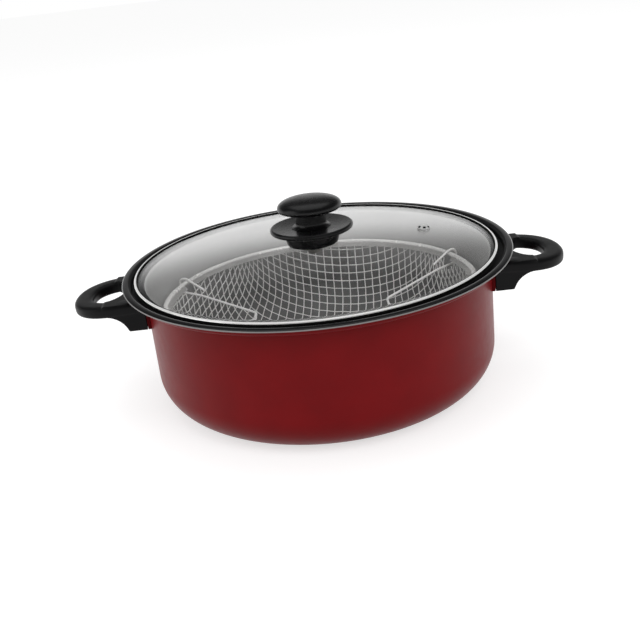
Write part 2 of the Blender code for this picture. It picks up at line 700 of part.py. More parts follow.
def hook_notches():
    """A cutter with one block at each of the four hooks, for the wire to pass the strip and the weave."""
    work = bmesh.new()
    low_z = HEM_Z - NOTCH_DEPTH
    high_z = HEM_Z - NOTCH_TOP
    reach = HEM_RADIUS - HEM_HALF_WIDTH / 2
    depth = OVERRUN
    for azimuth in (HOOK_AZIMUTH, math.pi - HOOK_AZIMUTH, math.pi + HOOK_AZIMUTH, -HOOK_AZIMUTH):
        middle = (reach - depth / 2, 0, (low_z + high_z) / 2)
        size = (depth, NOTCH_WIDTH, high_z - low_z, 1)
        place = Matrix.Rotation(azimuth, 4, "Z") @ Matrix.Translation(middle) @ Matrix.Diagonal(size)
        bmesh.ops.create_cube(work, size=1, matrix=place)
    mesh = bpy.data.meshes.new("hook_notches")
    work.to_mesh(mesh)
    work.free()
    cutter = link_cutter("hook_notches", mesh)
    cutter.parent = basket_axis
    return cutter


def bail_path():
    """The right bail's centreline about its hinge: finger, hook, shoulder, nose, and the same back."""
    hinge = Vector((HINGE_X, 0, HEM_Z))

    def on_hook(radius, height):
        return Vector((radius * math.cos(HOOK_AZIMUTH), radius * math.sin(HOOK_AZIMUTH), height)) - hinge

    centre = (HEM_RADIUS + HOOK_SHIFT, HEM_Z - HOOK_LOWER)
    tip = on_hook(HEM_RADIUS - FINGER_LENGTH, HEM_Z - FINGER_DROP)
    knee = on_hook(HEM_RADIUS - KNEE_IN, HEM_Z + KNEE_UP)
    hook = [on_hook(radius, height) for radius, height in arc(centre, HOOK_ROUND, 90, -90, 8)]
    shoulder = Vector((-SHOULDER_IN, BAIL_SPREAD - SHOULDER_NARROWING, -SHOULDER_DROP))
    nose = Vector((-NOSE_REACH, NOSE_HALF_WIDTH, -NOSE_DROP))
    across = Vector((-NOSE_REACH, 0, -NOSE_DROP))
    side = rounded([tip, knee, hook[0]], [KNEE_ROUND], 3)
    side += hook[1:-1]
    side += rounded([hook[-1], shoulder, nose, across], [SHOULDER_ROUND, NOSE_ROUND], 4)[:-1]
    other = [Vector((point.x, -point.y, point.z)) for point in reversed(side)]
    return side + other


def make_basket():
    """Hem, woven bowl and the two bails."""
    notches = hook_notches()
    hem = turned("basket_rim", hem_profile(), BODY_STEPS, polished_steel, basket_axis, ring=True)
    bowl = turned("basket_net", mesh_profile(), BODY_STEPS, tinned_wire, basket_axis)
    for obj in (hem, bowl):
        add_boolean(obj, notches, "DIFFERENCE")
    wire = curve_from("bail_wire", [bail_path()], cyclic=False)
    wire.dimensions = "3D"
    wire.bevel_depth = BAIL_WIRE
    wire.bevel_resolution = 2
    wire.use_fill_caps = True
    for side, turn in (("right", 0), ("left", math.pi)):
        bail = link_part("basket_handle_" + side, wire, tinned_wire, basket_axis)
        bail.location = (HINGE_X * math.cos(turn), 0, HEM_Z)
        bail.rotation_euler.z = turn


make_basket()
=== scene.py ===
"""Deep fry pot with a glass lid and a lift-out wire basket: its looks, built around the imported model.

Metres, +Z up, the origin in the middle of the pot's base. Each section below is one piece of the
object, or one group of like pieces, in the order in which the pot is put together.
"""

import math

import bmesh
import bpy
from mathutils import Matrix, Vector


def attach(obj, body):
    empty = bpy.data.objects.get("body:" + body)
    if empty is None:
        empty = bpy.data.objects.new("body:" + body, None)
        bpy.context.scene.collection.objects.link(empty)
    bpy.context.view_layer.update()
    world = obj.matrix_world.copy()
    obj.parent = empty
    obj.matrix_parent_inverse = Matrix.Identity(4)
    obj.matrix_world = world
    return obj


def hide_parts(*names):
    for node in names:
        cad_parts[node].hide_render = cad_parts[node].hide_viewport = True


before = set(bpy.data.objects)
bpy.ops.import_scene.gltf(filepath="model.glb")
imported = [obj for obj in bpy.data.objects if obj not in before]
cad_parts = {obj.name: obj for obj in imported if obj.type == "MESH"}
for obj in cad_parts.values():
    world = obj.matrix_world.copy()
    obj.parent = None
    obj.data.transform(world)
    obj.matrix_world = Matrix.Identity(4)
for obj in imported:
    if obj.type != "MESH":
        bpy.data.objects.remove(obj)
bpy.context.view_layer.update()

# The picture
# A plain pale floor, soft studio light and the photograph's camera: a 50 mm lens a little above
# the pot, rolled by a few degrees. The floor and the world are white to the camera, the floor keeps
# the pot's shadow, and what is glossy mirrors white walls under a darker ceiling.
CAMERA_TARGET = Vector((-0.0026, 0, 0.0488))
CAMERA_DISTANCE = 0.720
CAMERA_ELEVATION = math.radians(21.92)
CAMERA_AZIMUTH = 0.01
CAMERA_ROLL = math.radians(6.5)
FILM_WIDTH = 36
FOCAL_PIXELS = 900
PICTURE_PIXELS = 640


def in_scene(name, data):
    """A new object in the scene."""
    obj = bpy.data.objects.new(name, data)
    bpy.context.scene.collection.objects.link(obj)
    return obj


level = math.cos(CAMERA_ELEVATION)
back = Vector(
    (math.sin(CAMERA_AZIMUTH) * level, -math.cos(CAMERA_AZIMUTH) * level, math.sin(CAMERA_ELEVATION))
)
right = back.cross(Vector((0, 0, -1))).normalized()
up = back.cross(right)
camera_data = bpy.data.cameras.new("photo_camera")
camera_data.sensor_width = FILM_WIDTH
camera_data.lens = FILM_WIDTH * FOCAL_PIXELS / PICTURE_PIXELS
camera = in_scene("photo_camera", camera_data)
view = Matrix((right, up, back)).transposed() @ Matrix.Rotation(-CAMERA_ROLL, 3, "Z")
camera.matrix_world = Matrix.Translation(CAMERA_TARGET + back * CAMERA_DISTANCE) @ view.to_4x4()
bpy.context.scene.camera = camera
bpy.context.scene.view_settings.view_transform = "Standard"


def add_node(tree, kind, inputs=None, **settings):
    """A node with its settings. An input given as a socket is linked, and any other is set."""
    new = tree.nodes.new(kind)
    for name, value in settings.items():
        setattr(new, name, value)
    for name, value in (inputs or {}).items():
        socket = new.inputs[name]
        if isinstance(value, bpy.types.NodeSocket):
            tree.links.new(value, socket)
        else:
            socket.default_value = value
    return new


def linear(hex_colour):
    """The linear colour of an sRGB hex value, by the sRGB standard's own curve."""
    colour = []
    for i in (1, 3, 5):
        value = int(hex_colour[i : i + 2], 16) / 255
        colour.append(value / 12.92 if value <= 0.04045 else ((value + 0.055) / 1.055) ** 2.4)
    return (*colour, 1)


def seen_by(tree, *rays):
    """1 for the kinds of ray named, and 0 for any other."""
    path = add_node(tree, "ShaderNodeLightPath")
    seen = path.outputs[rays[0]]
    for ray in rays[1:]:
        either = {0: seen, 1: path.outputs[ray]}
        seen = add_node(tree, "ShaderNodeMath", either, operation="MAXIMUM").outputs[0]
    return seen


BACKDROP_WHITE = "#ffffff"
FILL_LIGHT = 0.62
WALLS_END = math.radians(9)
CEILING_START = math.radians(21.5)
CEILING_LIGHT = 0.06
world = bpy.data.worlds.new("studio")
world.use_nodes = True
bpy.context.scene.world = world
tree = world.node_tree
tree.nodes.clear()

# The world is white to the eye, and gives the object only the light that fills the lamps' shade.
seen = seen_by(tree, "Is Camera Ray", "Is Transmission Ray")
strength = add_node(tree, "ShaderNodeMapRange", {"Value": seen, "To Min": FILL_LIGHT, "To Max": 1.0})

# What is glossy mirrors white walls just over the floor, which fade into a dark ceiling.
direction = add_node(tree, "ShaderNodeTexCoord").outputs["Generated"]
height = add_node(tree, "ShaderNodeSeparateXYZ", {"Vector": direction}).outputs["Z"]
room = add_node(
    tree,
    "ShaderNodeMapRange",
    {
        "Value": height,
        "From Min": math.sin(WALLS_END),
        "From Max": math.sin(CEILING_START),
        "To Min": 1.0,
        "To Max": CEILING_LIGHT,
    },
    interpolation_type="SMOOTHSTEP",
)
mirrored = add_node(
    tree,
    "ShaderNodeMix",
    {"Factor": seen_by(tree, "Is Glossy Ray"), "A": strength.outputs[0], "B": room.outputs[0]},
    data_type="FLOAT",
)
sky = add_node(
    tree,
    "ShaderNodeBackground",
    {"Color": linear(BACKDROP_WHITE), "Strength": mirrored.outputs["Result"]},
)
add_node(tree, "ShaderNodeOutputWorld", {"Surface": sky.outputs[0]})

FLOOR_RADIUS = 12.0
FLOOR_STEPS = 96
FLOOR_GREY = "#c4c4c4"
FLOOR_GLOW = 0.62


def from_work(name, work):
    """A new object with the mesh of a bmesh, which is used up."""
    mesh = bpy.data.meshes.new(name)
    work.to_mesh(mesh)
    work.free()
    return in_scene(name, mesh)


def bare_material(name):
    """A new material with an empty node tree."""
    material = bpy.data.materials.new(name)
    material.use_nodes = True
    material.node_tree.nodes.clear()
    return material


floor_work = bmesh.new()
bmesh.ops.create_circle(floor_work, cap_ends=True, segments=FLOOR_STEPS, radius=FLOOR_RADIUS)
floor = from_work("floor", floor_work)

# The floor's paint: a pale grey under the lamps, lifted to white where the eye or a mirror sees it.
floor_paint = bare_material("pale_floor")
tree = floor_paint.node_tree
seen = seen_by(tree, "Is Camera Ray", "Is Glossy Ray", "Is Transmission Ray")
glow_strength = add_node(tree, "ShaderNodeMath", {0: seen, 1: FLOOR_GLOW}, operation="MULTIPLY")
glow = add_node(tree, "ShaderNodeEmission", {"Strength": glow_strength.outputs[0]})
matt = add_node(tree, "ShaderNodeBsdfDiffuse", {"Color": linear(FLOOR_GREY)})
both = add_node(tree, "ShaderNodeAddShader", {0: matt.outputs[0], 1: glow.outputs[0]})
add_node(tree, "ShaderNodeOutputMaterial", {"Surface": both.outputs[0]})
floor.data.materials.append(floor_paint)

# Each lamp is a square soft box that looks at the pot: name, place, side and power. The key light
# lights the pot, but nothing mirrors it.
SOFT_BOXES = (
    ("key_light", Vector((0.9, -1.6, 1.9)), 1.6, 18),
    ("left_light", Vector((-2.0, -0.5, 1.2)), 1.6, 10),
    ("top_light", Vector((0, 0.6, 2.2)), 2.0, 12),
)
for name, place, side, power in SOFT_BOXES:
    lamp_data = bpy.data.lights.new(name, "AREA")
    lamp_data.size = side
    lamp_data.energy = power
    lamp = in_scene(name, lamp_data)
    lamp.visible_glossy = name != "key_light"
    lamp.matrix_world = Matrix.Translation(place) @ place.to_track_quat("Z", "Y").to_matrix().to_4x4()

# The pot
# One shell drawn from aluminium sheet: a round base, a straight wall, a step that the lid lies in
# and a flat lip. The outside is sprayed with red enamel and baked, the lip and the step have a
# dark non-stick coat, and the inside a pale grey one.
POT_RADIUS = 0.134
POT_HEIGHT = 0.104
POT_WALL = 0.002
POT_FLOOR = 0.0025
BASE_ROUND = 0.029
NECK_ROUND = 0.002
SEAT_DEPTH = 0.0047
LEDGE_WIDTH = 0.0112
LIP_WIDTH = 0.0068
BEND = 0.0005
BODY_STEPS = 240

# The seat's coat, a painted shade, runs from just inside the wall's radius to just past the step.
# A face counts as lying flat when its normal rises over this slope.
SEAT_COAT_START = -0.0005
SEAT_COAT_END = 0.0019
LIP_SLOPE = 0.6

# The heights between which the inside grows paler; below them its grey is painted darker, a painted shade
# deep in the pot.
PALE_FROM = 0.035
PALE_TO = 0.070
PALE_GREY = "#b0b0af"

# How every piece is turned: the sweep's own circle, the gap that is welded, and the sharpest bend
# that is still shaded smooth.
TURNING_CIRCLE = 1.0
WELD = 0.000001
SHARP_ANGLE = math.radians(38)


def arc(centre, radius, start, end, count):
    """Points of an arc from start to end, in degrees, with both ends."""
    angles = [math.radians(start + (end - start) * i / count) for i in range(count + 1)]
    return [(centre[0] + radius * math.cos(a), centre[1] + radius * math.sin(a)) for a in angles]


def new_tree(name, inputs):
    """A geometry tree with a geometry in and out, and the named inputs besides."""
    tree = bpy.data.node_groups.new(name, "GeometryNodeTree")
    tree.interface.new_socket("Geometry", in_out="INPUT", socket_type="NodeSocketGeometry")
    for title, kind in inputs:
        tree.interface.new_socket(title, in_out="INPUT", socket_type=kind)
    tree.interface.new_socket("Geometry", in_out="OUTPUT", socket_type="NodeSocketGeometry")
    return tree


def grown(name, mesh, tree, values):
    """The plain mesh that a tree makes from a mesh, as a new object."""
    obj = in_scene(name, mesh)
    modifier = obj.modifiers.new("growth", "NODES")
    modifier.node_group = tree
    for item in tree.interface.items_tree:
        if item.in_out == "INPUT" and item.name in values:
            modifier[item.identifier] = values[item.name]
    depsgraph = bpy.context.evaluated_depsgraph_get()
    result = bpy.data.meshes.new_from_object(obj.evaluated_get(depsgraph), depsgraph=depsgraph)
    obj.modifiers.remove(modifier)
    obj.data = result
    return obj


def end_tree(tree, given, result):
    """Ends a tree: what it made becomes real geometry in the given material."""
    real = add_node(tree, "GeometryNodeRealizeInstances", {"Geometry": result})
    dressed = add_node(
        tree,
        "GeometryNodeSetMaterial",
        {"Geometry": real.outputs[0], "Material": given.outputs["Material"]},
    )
    add_node(tree, "NodeGroupOutput", {"Geometry": dressed.outputs[0]})


def make_turning_tree():
    """A section of points (radius, 0, height), carried round Z and closed at the axis.

    It is swept along a wide circle, and first laid in by that circle's radius.
    """
    tree = new_tree("turned_on_a_lathe", (("Steps", "NodeSocketInt"), ("Material", "NodeSocketMaterial")))
    given = add_node(tree, "NodeGroupInput")
    laid = add_node(
        tree,
        "GeometryNodeTransform",
        {
            "Geometry": given.outputs["Geometry"],
            "Rotation": (math.pi / 2, 0, 0),
            "Translation": (-TURNING_CIRCLE, 0, 0),
        },
    )
    section = add_node(tree, "GeometryNodeMeshToCurve", {"Mesh": laid.outputs[0]})
    circle = add_node(
        tree,
        "GeometryNodeCurvePrimitiveCircle",
        {"Resolution": given.outputs["Steps"], "Radius": TURNING_CIRCLE},
    )
    skin = add_node(
        tree,
        "GeometryNodeCurveToMesh",
        {"Curve": circle.outputs["Curve"], "Profile Curve": section.outputs[0]},
    )
    welded = add_node(tree, "GeometryNodeMergeByDistance", {"Geometry": skin.outputs[0], "Distance": WELD})
    end_tree(tree, given, welded.outputs[0])
    return tree


TURNING_TREE = make_turning_tree()


def faces_out(obj):
    """Turns every face of a closed mesh outwards, and keeps only its real edges sharp."""
    work = bmesh.new()
    work.from_mesh(obj.data)
    bmesh.ops.recalc_face_normals(work, faces=work.faces)
    work.to_mesh(obj.data)
    work.free()
    obj.data.shade_smooth()
    obj.data.set_sharp_from_angle(angle=SHARP_ANGLE)


def turned(name, section, material, steps, axis=(0, 0), ring=False):
    """A turned piece. A ring's section is closed; any other stays open between its first and last
    points, and the piece is closed where both lie on the axis.
    """
    edges = [(i, i + 1) for i in range(len(section) - 1)]
    if ring:
        edges.append((len(section) - 1, 0))
    outline = bpy.data.meshes.new(name)
    outline.from_pydata([(radius, 0, height) for radius, height in section], edges, [])
    obj = grown(name, outline, TURNING_TREE, {"Steps": steps, "Material": material})
    obj.data.transform(Matrix.Translation((*axis, 0)))
    faces_out(obj)
    return obj


CLOUD_WIDTH = 0.025
SHEEN_WIDTH = CLOUD_WIDTH / 4
SHEEN_SPREAD = 0.08
NOISE_LOW = 0.3
NOISE_HIGH = 0.7


def grain(tree, place, width, detail, low, high):
    """A soft noise on a place, with patches of a width in metres, spread over a range."""
    noise = add_node(tree, "ShaderNodeTexNoise", {"Vector": place, "Scale": 1 / width, "Detail": detail})
    return add_node(
        tree,
        "ShaderNodeMapRange",
        {
            "Value": noise.outputs["Fac"],
            "From Min": NOISE_LOW,
            "From Max": NOISE_HIGH,
            "To Min": low,
            "To Max": high,
        },
    ).outputs[0]


def coat(name, dark, light, roughness, peel, peel_depth, metallic=0.0, specular=0.5):
    """A surface of two close colours, with uneven roughness and a fine relief.

    peel is the width of the relief's bumps in metres, and peel_depth their height.
    """
    material = bare_material(name)
    tree = material.node_tree
    place = add_node(tree, "ShaderNodeTexCoord").outputs["Object"]
    cloud = grain(tree, place, CLOUD_WIDTH, 3, 0, 1)
    colour = add_node(
        tree,
        "ShaderNodeMix",
        {"Factor": cloud, "A": linear(dark), "B": linear(light)},
        data_type="RGBA",
    )
    smooth = roughness * (1 - SHEEN_SPREAD)
    rough = roughness * (1 + SHEEN_SPREAD)
    sheen = grain(tree, place, SHEEN_WIDTH, 4, smooth, rough)
    relief = add_node(tree, "ShaderNodeTexNoise", {"Vector": place, "Scale": 1 / peel, "Detail": 2})
    bump = add_node(
        tree,
        "ShaderNodeBump",
        {"Height": relief.outputs["Fac"], "Distance": peel_depth, "Strength": 1.0},
    )
    shader = add_node(
        tree,
        "ShaderNodeBsdfPrincipled",
        {
            "Base Color": colour.outputs["Result"],
            "Roughness": sheen,
            "Normal": bump.outputs[0],
            "Metallic": metallic,
            "Specular IOR Level": specular,
        },
    )
    add_node(tree, "ShaderNodeOutputMaterial", {"Surface": shader.outputs[0]})
    return material


# Baked silicone polyester enamel: an even dark red with a satin gloss and a trace of orange peel.
red_enamel = coat(
    "red_baked_enamel", "#750e12", "#7d1014",
    roughness=0.36, peel=0.0012, peel_depth=0.000006, specular=0.1,
)
# The lip's non-stick coat: black and glossy, greying where it mirrors the walls of the room.
lip_coat = coat(
    "dark_nonstick_coat", "#0a0a0b", "#0e0e0f",
    roughness=0.07, peel=0.0006, peel_depth=0.000002, specular=0.6,
)
# The lip's rounded edge: a thin grey line round the pot, a painted highlight.
edge_highlight_paint = coat(
    "lip_edge_painted_highlight", "#7d7b7a", "#8a8887",
    roughness=0.45, peel=0.0006, peel_depth=0.000006, metallic=0.2,
)
# The non-stick coat in the lid's seat: a matt copy of the lip's coat that mirrors little, so the seat reads
# nearly black, a painted shade.
seat_coat_painted_shade = coat(
    "dark_nonstick_coat_painted_shade_in_the_seat", "#101011", "#161617",
    roughness=0.6, peel=0.0006, peel_depth=0.000006, specular=0.1,
)
# The inside's coat: a warm grey that hides the metal, a little glossy; painted darker low in the pot and
# paler up the wall, a painted shade of the pot's depth.
inside_coat = coat(
    "grey_nonstick_coat", "#6c6c6b", "#737372",
    roughness=0.42, peel=0.0008, peel_depth=0.000008,
)
# Painted shade: the grey blends into a paler one up the wall, so the inside is darker deep in the pot.
tree = inside_coat.node_tree
place = add_node(tree, "ShaderNodeTexCoord").outputs["Object"]
shade_fade = add_node(
    tree,
    "ShaderNodeMapRange",
    {
        "Value": add_node(tree, "ShaderNodeSeparateXYZ", {"Vector": place}).outputs["Z"],
        "From Min": PALE_FROM,
        "From Max": PALE_TO,
    },
    interpolation_type="SMOOTHSTEP",
)
paint = next(node for node in tree.nodes if node.type == "BSDF_PRINCIPLED").inputs["Base Color"]
painted_shade_blend = add_node(
    tree,
    "ShaderNodeMix",
    {"Factor": shade_fade.outputs[0], "A": paint.links[0].from_socket, "B": linear(PALE_GREY)},
    data_type="RGBA",
)
tree.links.new(painted_shade_blend.outputs["Result"], paint)

ledge_z = POT_HEIGHT - SEAT_DEPTH
seat_radius = POT_RADIUS - POT_WALL + LEDGE_WIDTH
rim_radius = seat_radius + LIP_WIDTH
base_radius = POT_RADIUS - BASE_ROUND
inner_round = BASE_ROUND - POT_WALL
neck = (POT_RADIUS + NECK_ROUND, ledge_z - POT_WALL - NECK_ROUND)
seat_corner = (seat_radius - BEND, ledge_z + BEND)
lip_corner = (seat_radius + POT_WALL + BEND, POT_HEIGHT - POT_WALL - BEND)
edge = (rim_radius - POT_WALL / 2, POT_HEIGHT - POT_WALL / 2)

inside = [(0, POT_FLOOR)]
inside += arc((base_radius, POT_FLOOR + inner_round), inner_round, -90, 0, 24)
gallery = arc(neck, NECK_ROUND + POT_WALL, 180, 90, 10)
gallery += arc(seat_corner, BEND, -90, 0, 4)
gallery += arc(lip_corner, BEND + POT_WALL, 180, 90, 8)
gallery += arc(edge, POT_WALL / 2, 90, 0, 6)
outside = arc(edge, POT_WALL / 2, -15, -90, 5)
outside += arc(lip_corner, BEND, 90, 180, 4)
outside += arc(seat_corner, BEND + POT_WALL, 0, -90, 6)
outside += arc(neck, NECK_ROUND, 90, 180, 8)
outside += arc((base_radius, BASE_ROUND), BASE_ROUND, 0, -90, 28)
outside.append((0, 0))


def dress(obj, materials, finish):
    """Gives each face of an object the one of its materials that finish(face) names."""
    obj.data.materials.clear()
    for material in materials:
        obj.data.materials.append(material)
    for face in obj.data.polygons:
        face.material_index = materials.index(finish(face))


def pot_finish(face):
    """The coat on a face of the pot, by where it lies and which way it looks."""
    reach = math.hypot(face.center.x, face.center.y)
    height = face.center.z
    in_bowl = reach < POT_RADIUS - POT_WALL / 2 and height > POT_FLOOR / 2
    deep = math.hypot(max(reach - base_radius, 0), min(height - BASE_ROUND, 0)) > BASE_ROUND - POT_WALL / 2
    if in_bowl and not deep:
        return inside_coat
    looks_up = face.normal.z > LIP_SLOPE
    looks_in = face.normal.x * face.center.x + face.normal.y * face.center.y < 0
    if height > neck[1] and (looks_up or looks_in):
        # The seat gets the painted shade, and the rest of the top the lip's coat.
        on_ledge = SEAT_COAT_START < reach - POT_RADIUS and reach < seat_radius + SEAT_COAT_END
        return seat_coat_painted_shade if on_ledge else lip_coat
    # The lip's outer edge gets the painted highlight.
    at_edge = reach > edge[0] and height > edge[1] - POT_WALL / 4
    return edge_highlight_paint if at_edge else red_enamel


pot = turned("pot_body", inside + gallery + outside, red_enamel, BODY_STEPS)
dress(pot, [red_enamel, lip_coat, inside_coat, seat_coat_painted_shade, edge_highlight_paint], pot_finish)
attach(pot, "pot")
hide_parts("pot_shell")

# The side handles
# Each is one black phenolic moulding: a rounded bar that runs out, round and back, over a foot
# that fits the wall. The mould leaves a satin face with soft edges, and a recess below for the screw.
HANDLE_REACH = 0.057
HANDLE_HALF_WIDTH = 0.0365
STRAIGHT_RUN = 0.022
HANDLE_FULLNESS = 2.3
HANDLE_BELOW_LIP = 0.0110
HANDLE_DROOP = 0.05
BAR_WIDTH = 0.0150
BAR_THICKNESS = 0.0092
BAR_FULLNESS = 4.0
FOOT_HEIGHT = 0.0225
FOOT_DEPTH = 0.0098
FOOT_INSET = 0.0010
FOOT_FILLET = 0.018
FOOT_GAP = 0.0025
FOOT_BELOW_TOP = 0.0008
RECESS_RADIUS = 0.0039
RECESS_DEPTH = 0.0050
MOULD_GRAIN = 0.0005
SOFTENING_ROUNDS = 12
SOFTENING_SHARE = 0.5
HOLE_START = 0.0165
HOLE_LENGTH = 0.0260
HOLE_FULLNESS = 1.7
BAR_STEPS = 64
BAR_ROUND_STEPS = 48
FILLET_STEPS = 24
HOLE_STEPS = 96
BOLT_STEPS = 48
OVERRUN = 0.010
BOOLEAN_WELD = 0.000005

# Black phenolic: a hard satin black that greys where it mirrors the room, with a faint mould grain.
phenolic = coat(
    "black_phenolic", "#0c0c0d", "#111112",
    roughness=0.40, peel=0.0005, peel_depth=0.000012, specular=0.11,
)

handle_top = POT_HEIGHT - HANDLE_BELOW_LIP
foot_bottom = handle_top - FOOT_HEIGHT
handle_back = math.sqrt(POT_RADIUS**2 - HANDLE_HALF_WIDTH**2)
foot_radius = POT_RADIUS + FOOT_GAP
foot_front = foot_radius + FOOT_DEPTH
bolt_x = foot_radius + FOOT_DEPTH / 2


def full_round(half_x, half_y, fullness, start, end, count):
    """Points of a superellipse about zero; a fullness of 2 is an ellipse, and more is squarer."""
    points = []
    for i in range(count + 1):
        angle = math.radians(start + (end - start) * i / count)
        c = math.cos(angle)
        s = math.sin(angle)
        x = half_x * math.copysign(abs(c) ** (2 / fullness), c)
        y = half_y * math.copysign(abs(s) ** (2 / fullness), s)
        points.append((x, y))
    return points


def flat_curve(name, loop, cyclic):
    """A flat curve object through points."""
    curve = bpy.data.curves.new(name, "CURVE")
    curve.dimensions = "2D"
    spline = curve.splines.new("POLY")
    spline.points.add(len(loop) - 1)
    spline.use_cyclic_u = cyclic
    for point, place in zip(spline.points, loop):
        point.co = (*place, 0, 1)
    return in_scene(name, curve)


def hardened(obj, place=Matrix.Identity(4)):
    """The object as a plain mesh object with its modifiers applied, its place in its mesh."""
    bpy.context.view_layer.update()
    depsgraph = bpy.context.evaluated_depsgraph_get()
    mesh = bpy.data.meshes.new_from_object(obj.evaluated_get(depsgraph), depsgraph=depsgraph)
    mesh.transform(place)
    work = bmesh.new()
    work.from_mesh(mesh)
    bmesh.ops.remove_doubles(work, verts=work.verts, dist=BOOLEAN_WELD)
    bmesh.ops.recalc_face_normals(work, faces=work.faces)
    work.to_mesh(mesh)
    work.free()
    name = obj.name
    bpy.data.objects.remove(obj)
    return in_scene(name, mesh)


def combined(obj, others, operation):
    """Joins or cuts an object with others, which are used up."""
    for other in others:
        boolean = obj.modifiers.new("combine", "BOOLEAN")
        boolean.operation = operation
        boolean.object = other
    plain = hardened(obj)
    for other in others:
        bpy.data.objects.remove(other)
    return plain


def block(name, low, high):
    """A box between two corners."""
    size = [b - a for a, b in zip(low, high)]
    middle = [(a + b) / 2 for a, b in zip(low, high)]
    work = bmesh.new()
    bmesh.ops.create_cube(work, size=1, matrix=Matrix.Translation(middle) @ Matrix.Diagonal((*size, 1)))
    return from_work(name, work)


def rod(name, radius, low, high, steps, place=Matrix.Identity(4)):
    """A cylinder about its own Z between two heights."""
    middle = place @ Matrix.Translation((0, 0, (low + high) / 2))
    work = bmesh.new()
    bmesh.ops.create_cone(
        work, cap_ends=True, segments=steps, radius1=radius, radius2=radius, depth=high - low, matrix=middle
    )
    return from_work(name, work)


def make_bar():
    """The loop: a superellipse carried out from the foot, round the tip and back, drooping outwards."""
    half_width = HANDLE_HALF_WIDTH - BAR_WIDTH / 2
    straight = POT_RADIUS + STRAIGHT_RUN
    reach = POT_RADIUS + HANDLE_REACH - BAR_WIDTH / 2 - straight
    bend = full_round(reach, half_width, HANDLE_FULLNESS, -90, 90, BAR_STEPS)
    way = [(handle_back, -half_width)] + [(straight + x, y) for x, y in bend] + [(handle_back, half_width)]
    bar_round = full_round(BAR_WIDTH / 2, BAR_THICKNESS / 2, BAR_FULLNESS, 0, 360, BAR_ROUND_STEPS)[:-1]
    section = flat_curve("bar_section", bar_round, True)
    bar = flat_curve("handle_bar", way, False)
    bar.data.bevel_mode = "OBJECT"
    bar.data.bevel_object = section
    bar.data.use_fill_caps = True
    droop = Matrix.Identity(4)
    droop[2][0] = -HANDLE_DROOP
    lift = Matrix.Translation((0, 0, handle_top - BAR_THICKNESS / 2 + HANDLE_DROOP * foot_radius))
    solid = hardened(bar, lift @ droop)
    bpy.data.objects.remove(section)
    return solid


def make_foot():
    """The foot: its side outline, with the sweep up to the bar, across the handle's width."""
    under_bar = handle_top - BAR_THICKNESS - HANDLE_DROOP * FOOT_DEPTH
    top = handle_top - FOOT_BELOW_TOP
    slant = math.asin((FOOT_FILLET + foot_bottom - under_bar) / FOOT_FILLET)
    fillet_x = foot_front + FOOT_FILLET * math.cos(slant)
    loop = [(handle_back, foot_bottom)]
    centre = (fillet_x, under_bar - FOOT_FILLET)
    loop += arc(centre, FOOT_FILLET, 180 - math.degrees(slant), 90, FILLET_STEPS)
    loop += [(fillet_x, top), (handle_back, top)]
    outline = flat_curve("handle_foot", loop, True)
    outline.data.fill_mode = "BOTH"
    outline.data.extrude = HANDLE_HALF_WIDTH - FOOT_INSET
    solid = hardened(outline, Matrix.Rotation(math.pi / 2, 4, "X"))
    hole_half = HANDLE_HALF_WIDTH - BAR_WIDTH + FOOT_INSET
    oval = full_round(HOLE_LENGTH / 2, hole_half, HOLE_FULLNESS, 0, 360, HOLE_STEPS)[:-1]
    middle = POT_RADIUS + HOLE_START + HOLE_LENGTH / 2
    hole = flat_curve("finger_hole", [(middle + x, y) for x, y in oval], True)
    hole.data.fill_mode = "BOTH"
    hole.data.extrude = handle_top
    return combined(solid, [hardened(hole)], "DIFFERENCE")


def make_handle():
    """Bar and foot as one moulding with softened edges."""
    solid = combined(make_bar(), [make_foot()], "UNION")
    low = foot_bottom - OVERRUN
    wall = rod("wall_fit", foot_radius, low, handle_top + OVERRUN, BODY_STEPS)
    at_bolt = Matrix.Translation((bolt_x, 0, 0))
    recess = rod("bolt_recess", RECESS_RADIUS, low, foot_bottom + RECESS_DEPTH, BOLT_STEPS, at_bolt)
    solid = combined(solid, [wall, recess], "DIFFERENCE")
    remesh = solid.modifiers.new("mould", "REMESH")
    remesh.mode = "VOXEL"
    remesh.voxel_size = MOULD_GRAIN
    smooth = solid.modifiers.new("soften", "SMOOTH")
    smooth.factor = SOFTENING_SHARE
    smooth.iterations = SOFTENING_ROUNDS
    solid = hardened(solid)
    solid.data.shade_smooth()
    return solid


moulding = make_handle()
for side, turn in (("right", 0), ("left", math.pi)):
    handle = in_scene("side_handle_moulding_" + side, moulding.data.copy())
    handle.data.transform(Matrix.Rotation(turn, 4, "Z"))
    handle.data.materials.append(phenolic)
    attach(handle, "pot")
    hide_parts("side_handle_" + side)
bpy.data.objects.remove(moulding)

# The handles' brackets
# Two red plates bent to the wall and welded on it, each with a tongue that reaches into the
# handle's foot. Their ends show as a dark red strip on both sides of the foot: their red is painted darker,
# a painted shade.
BRACKET_SHEET = 0.0024
BRACKET_HALF_WIDTH = 0.0380
BRACKET_HEIGHT = 0.0195
BRACKET_ABOVE_FOOT = 0.0014
TONGUE_HALF_WIDTH = 0.0090
TONGUE_LENGTH = 0.0100
TONGUE_GAP = 0.0004
PLATE_STEPS = 40

# The plates' enamel: the pot's own red, painted darker for the shade that the handle casts on the plates.
bracket_enamel_painted_shade = coat(
    "red_baked_enamel_painted_shade_on_brackets", "#560d10", "#5e0f12",
    roughness=0.45, peel=0.0012, peel_depth=0.000006, specular=0.05,
)

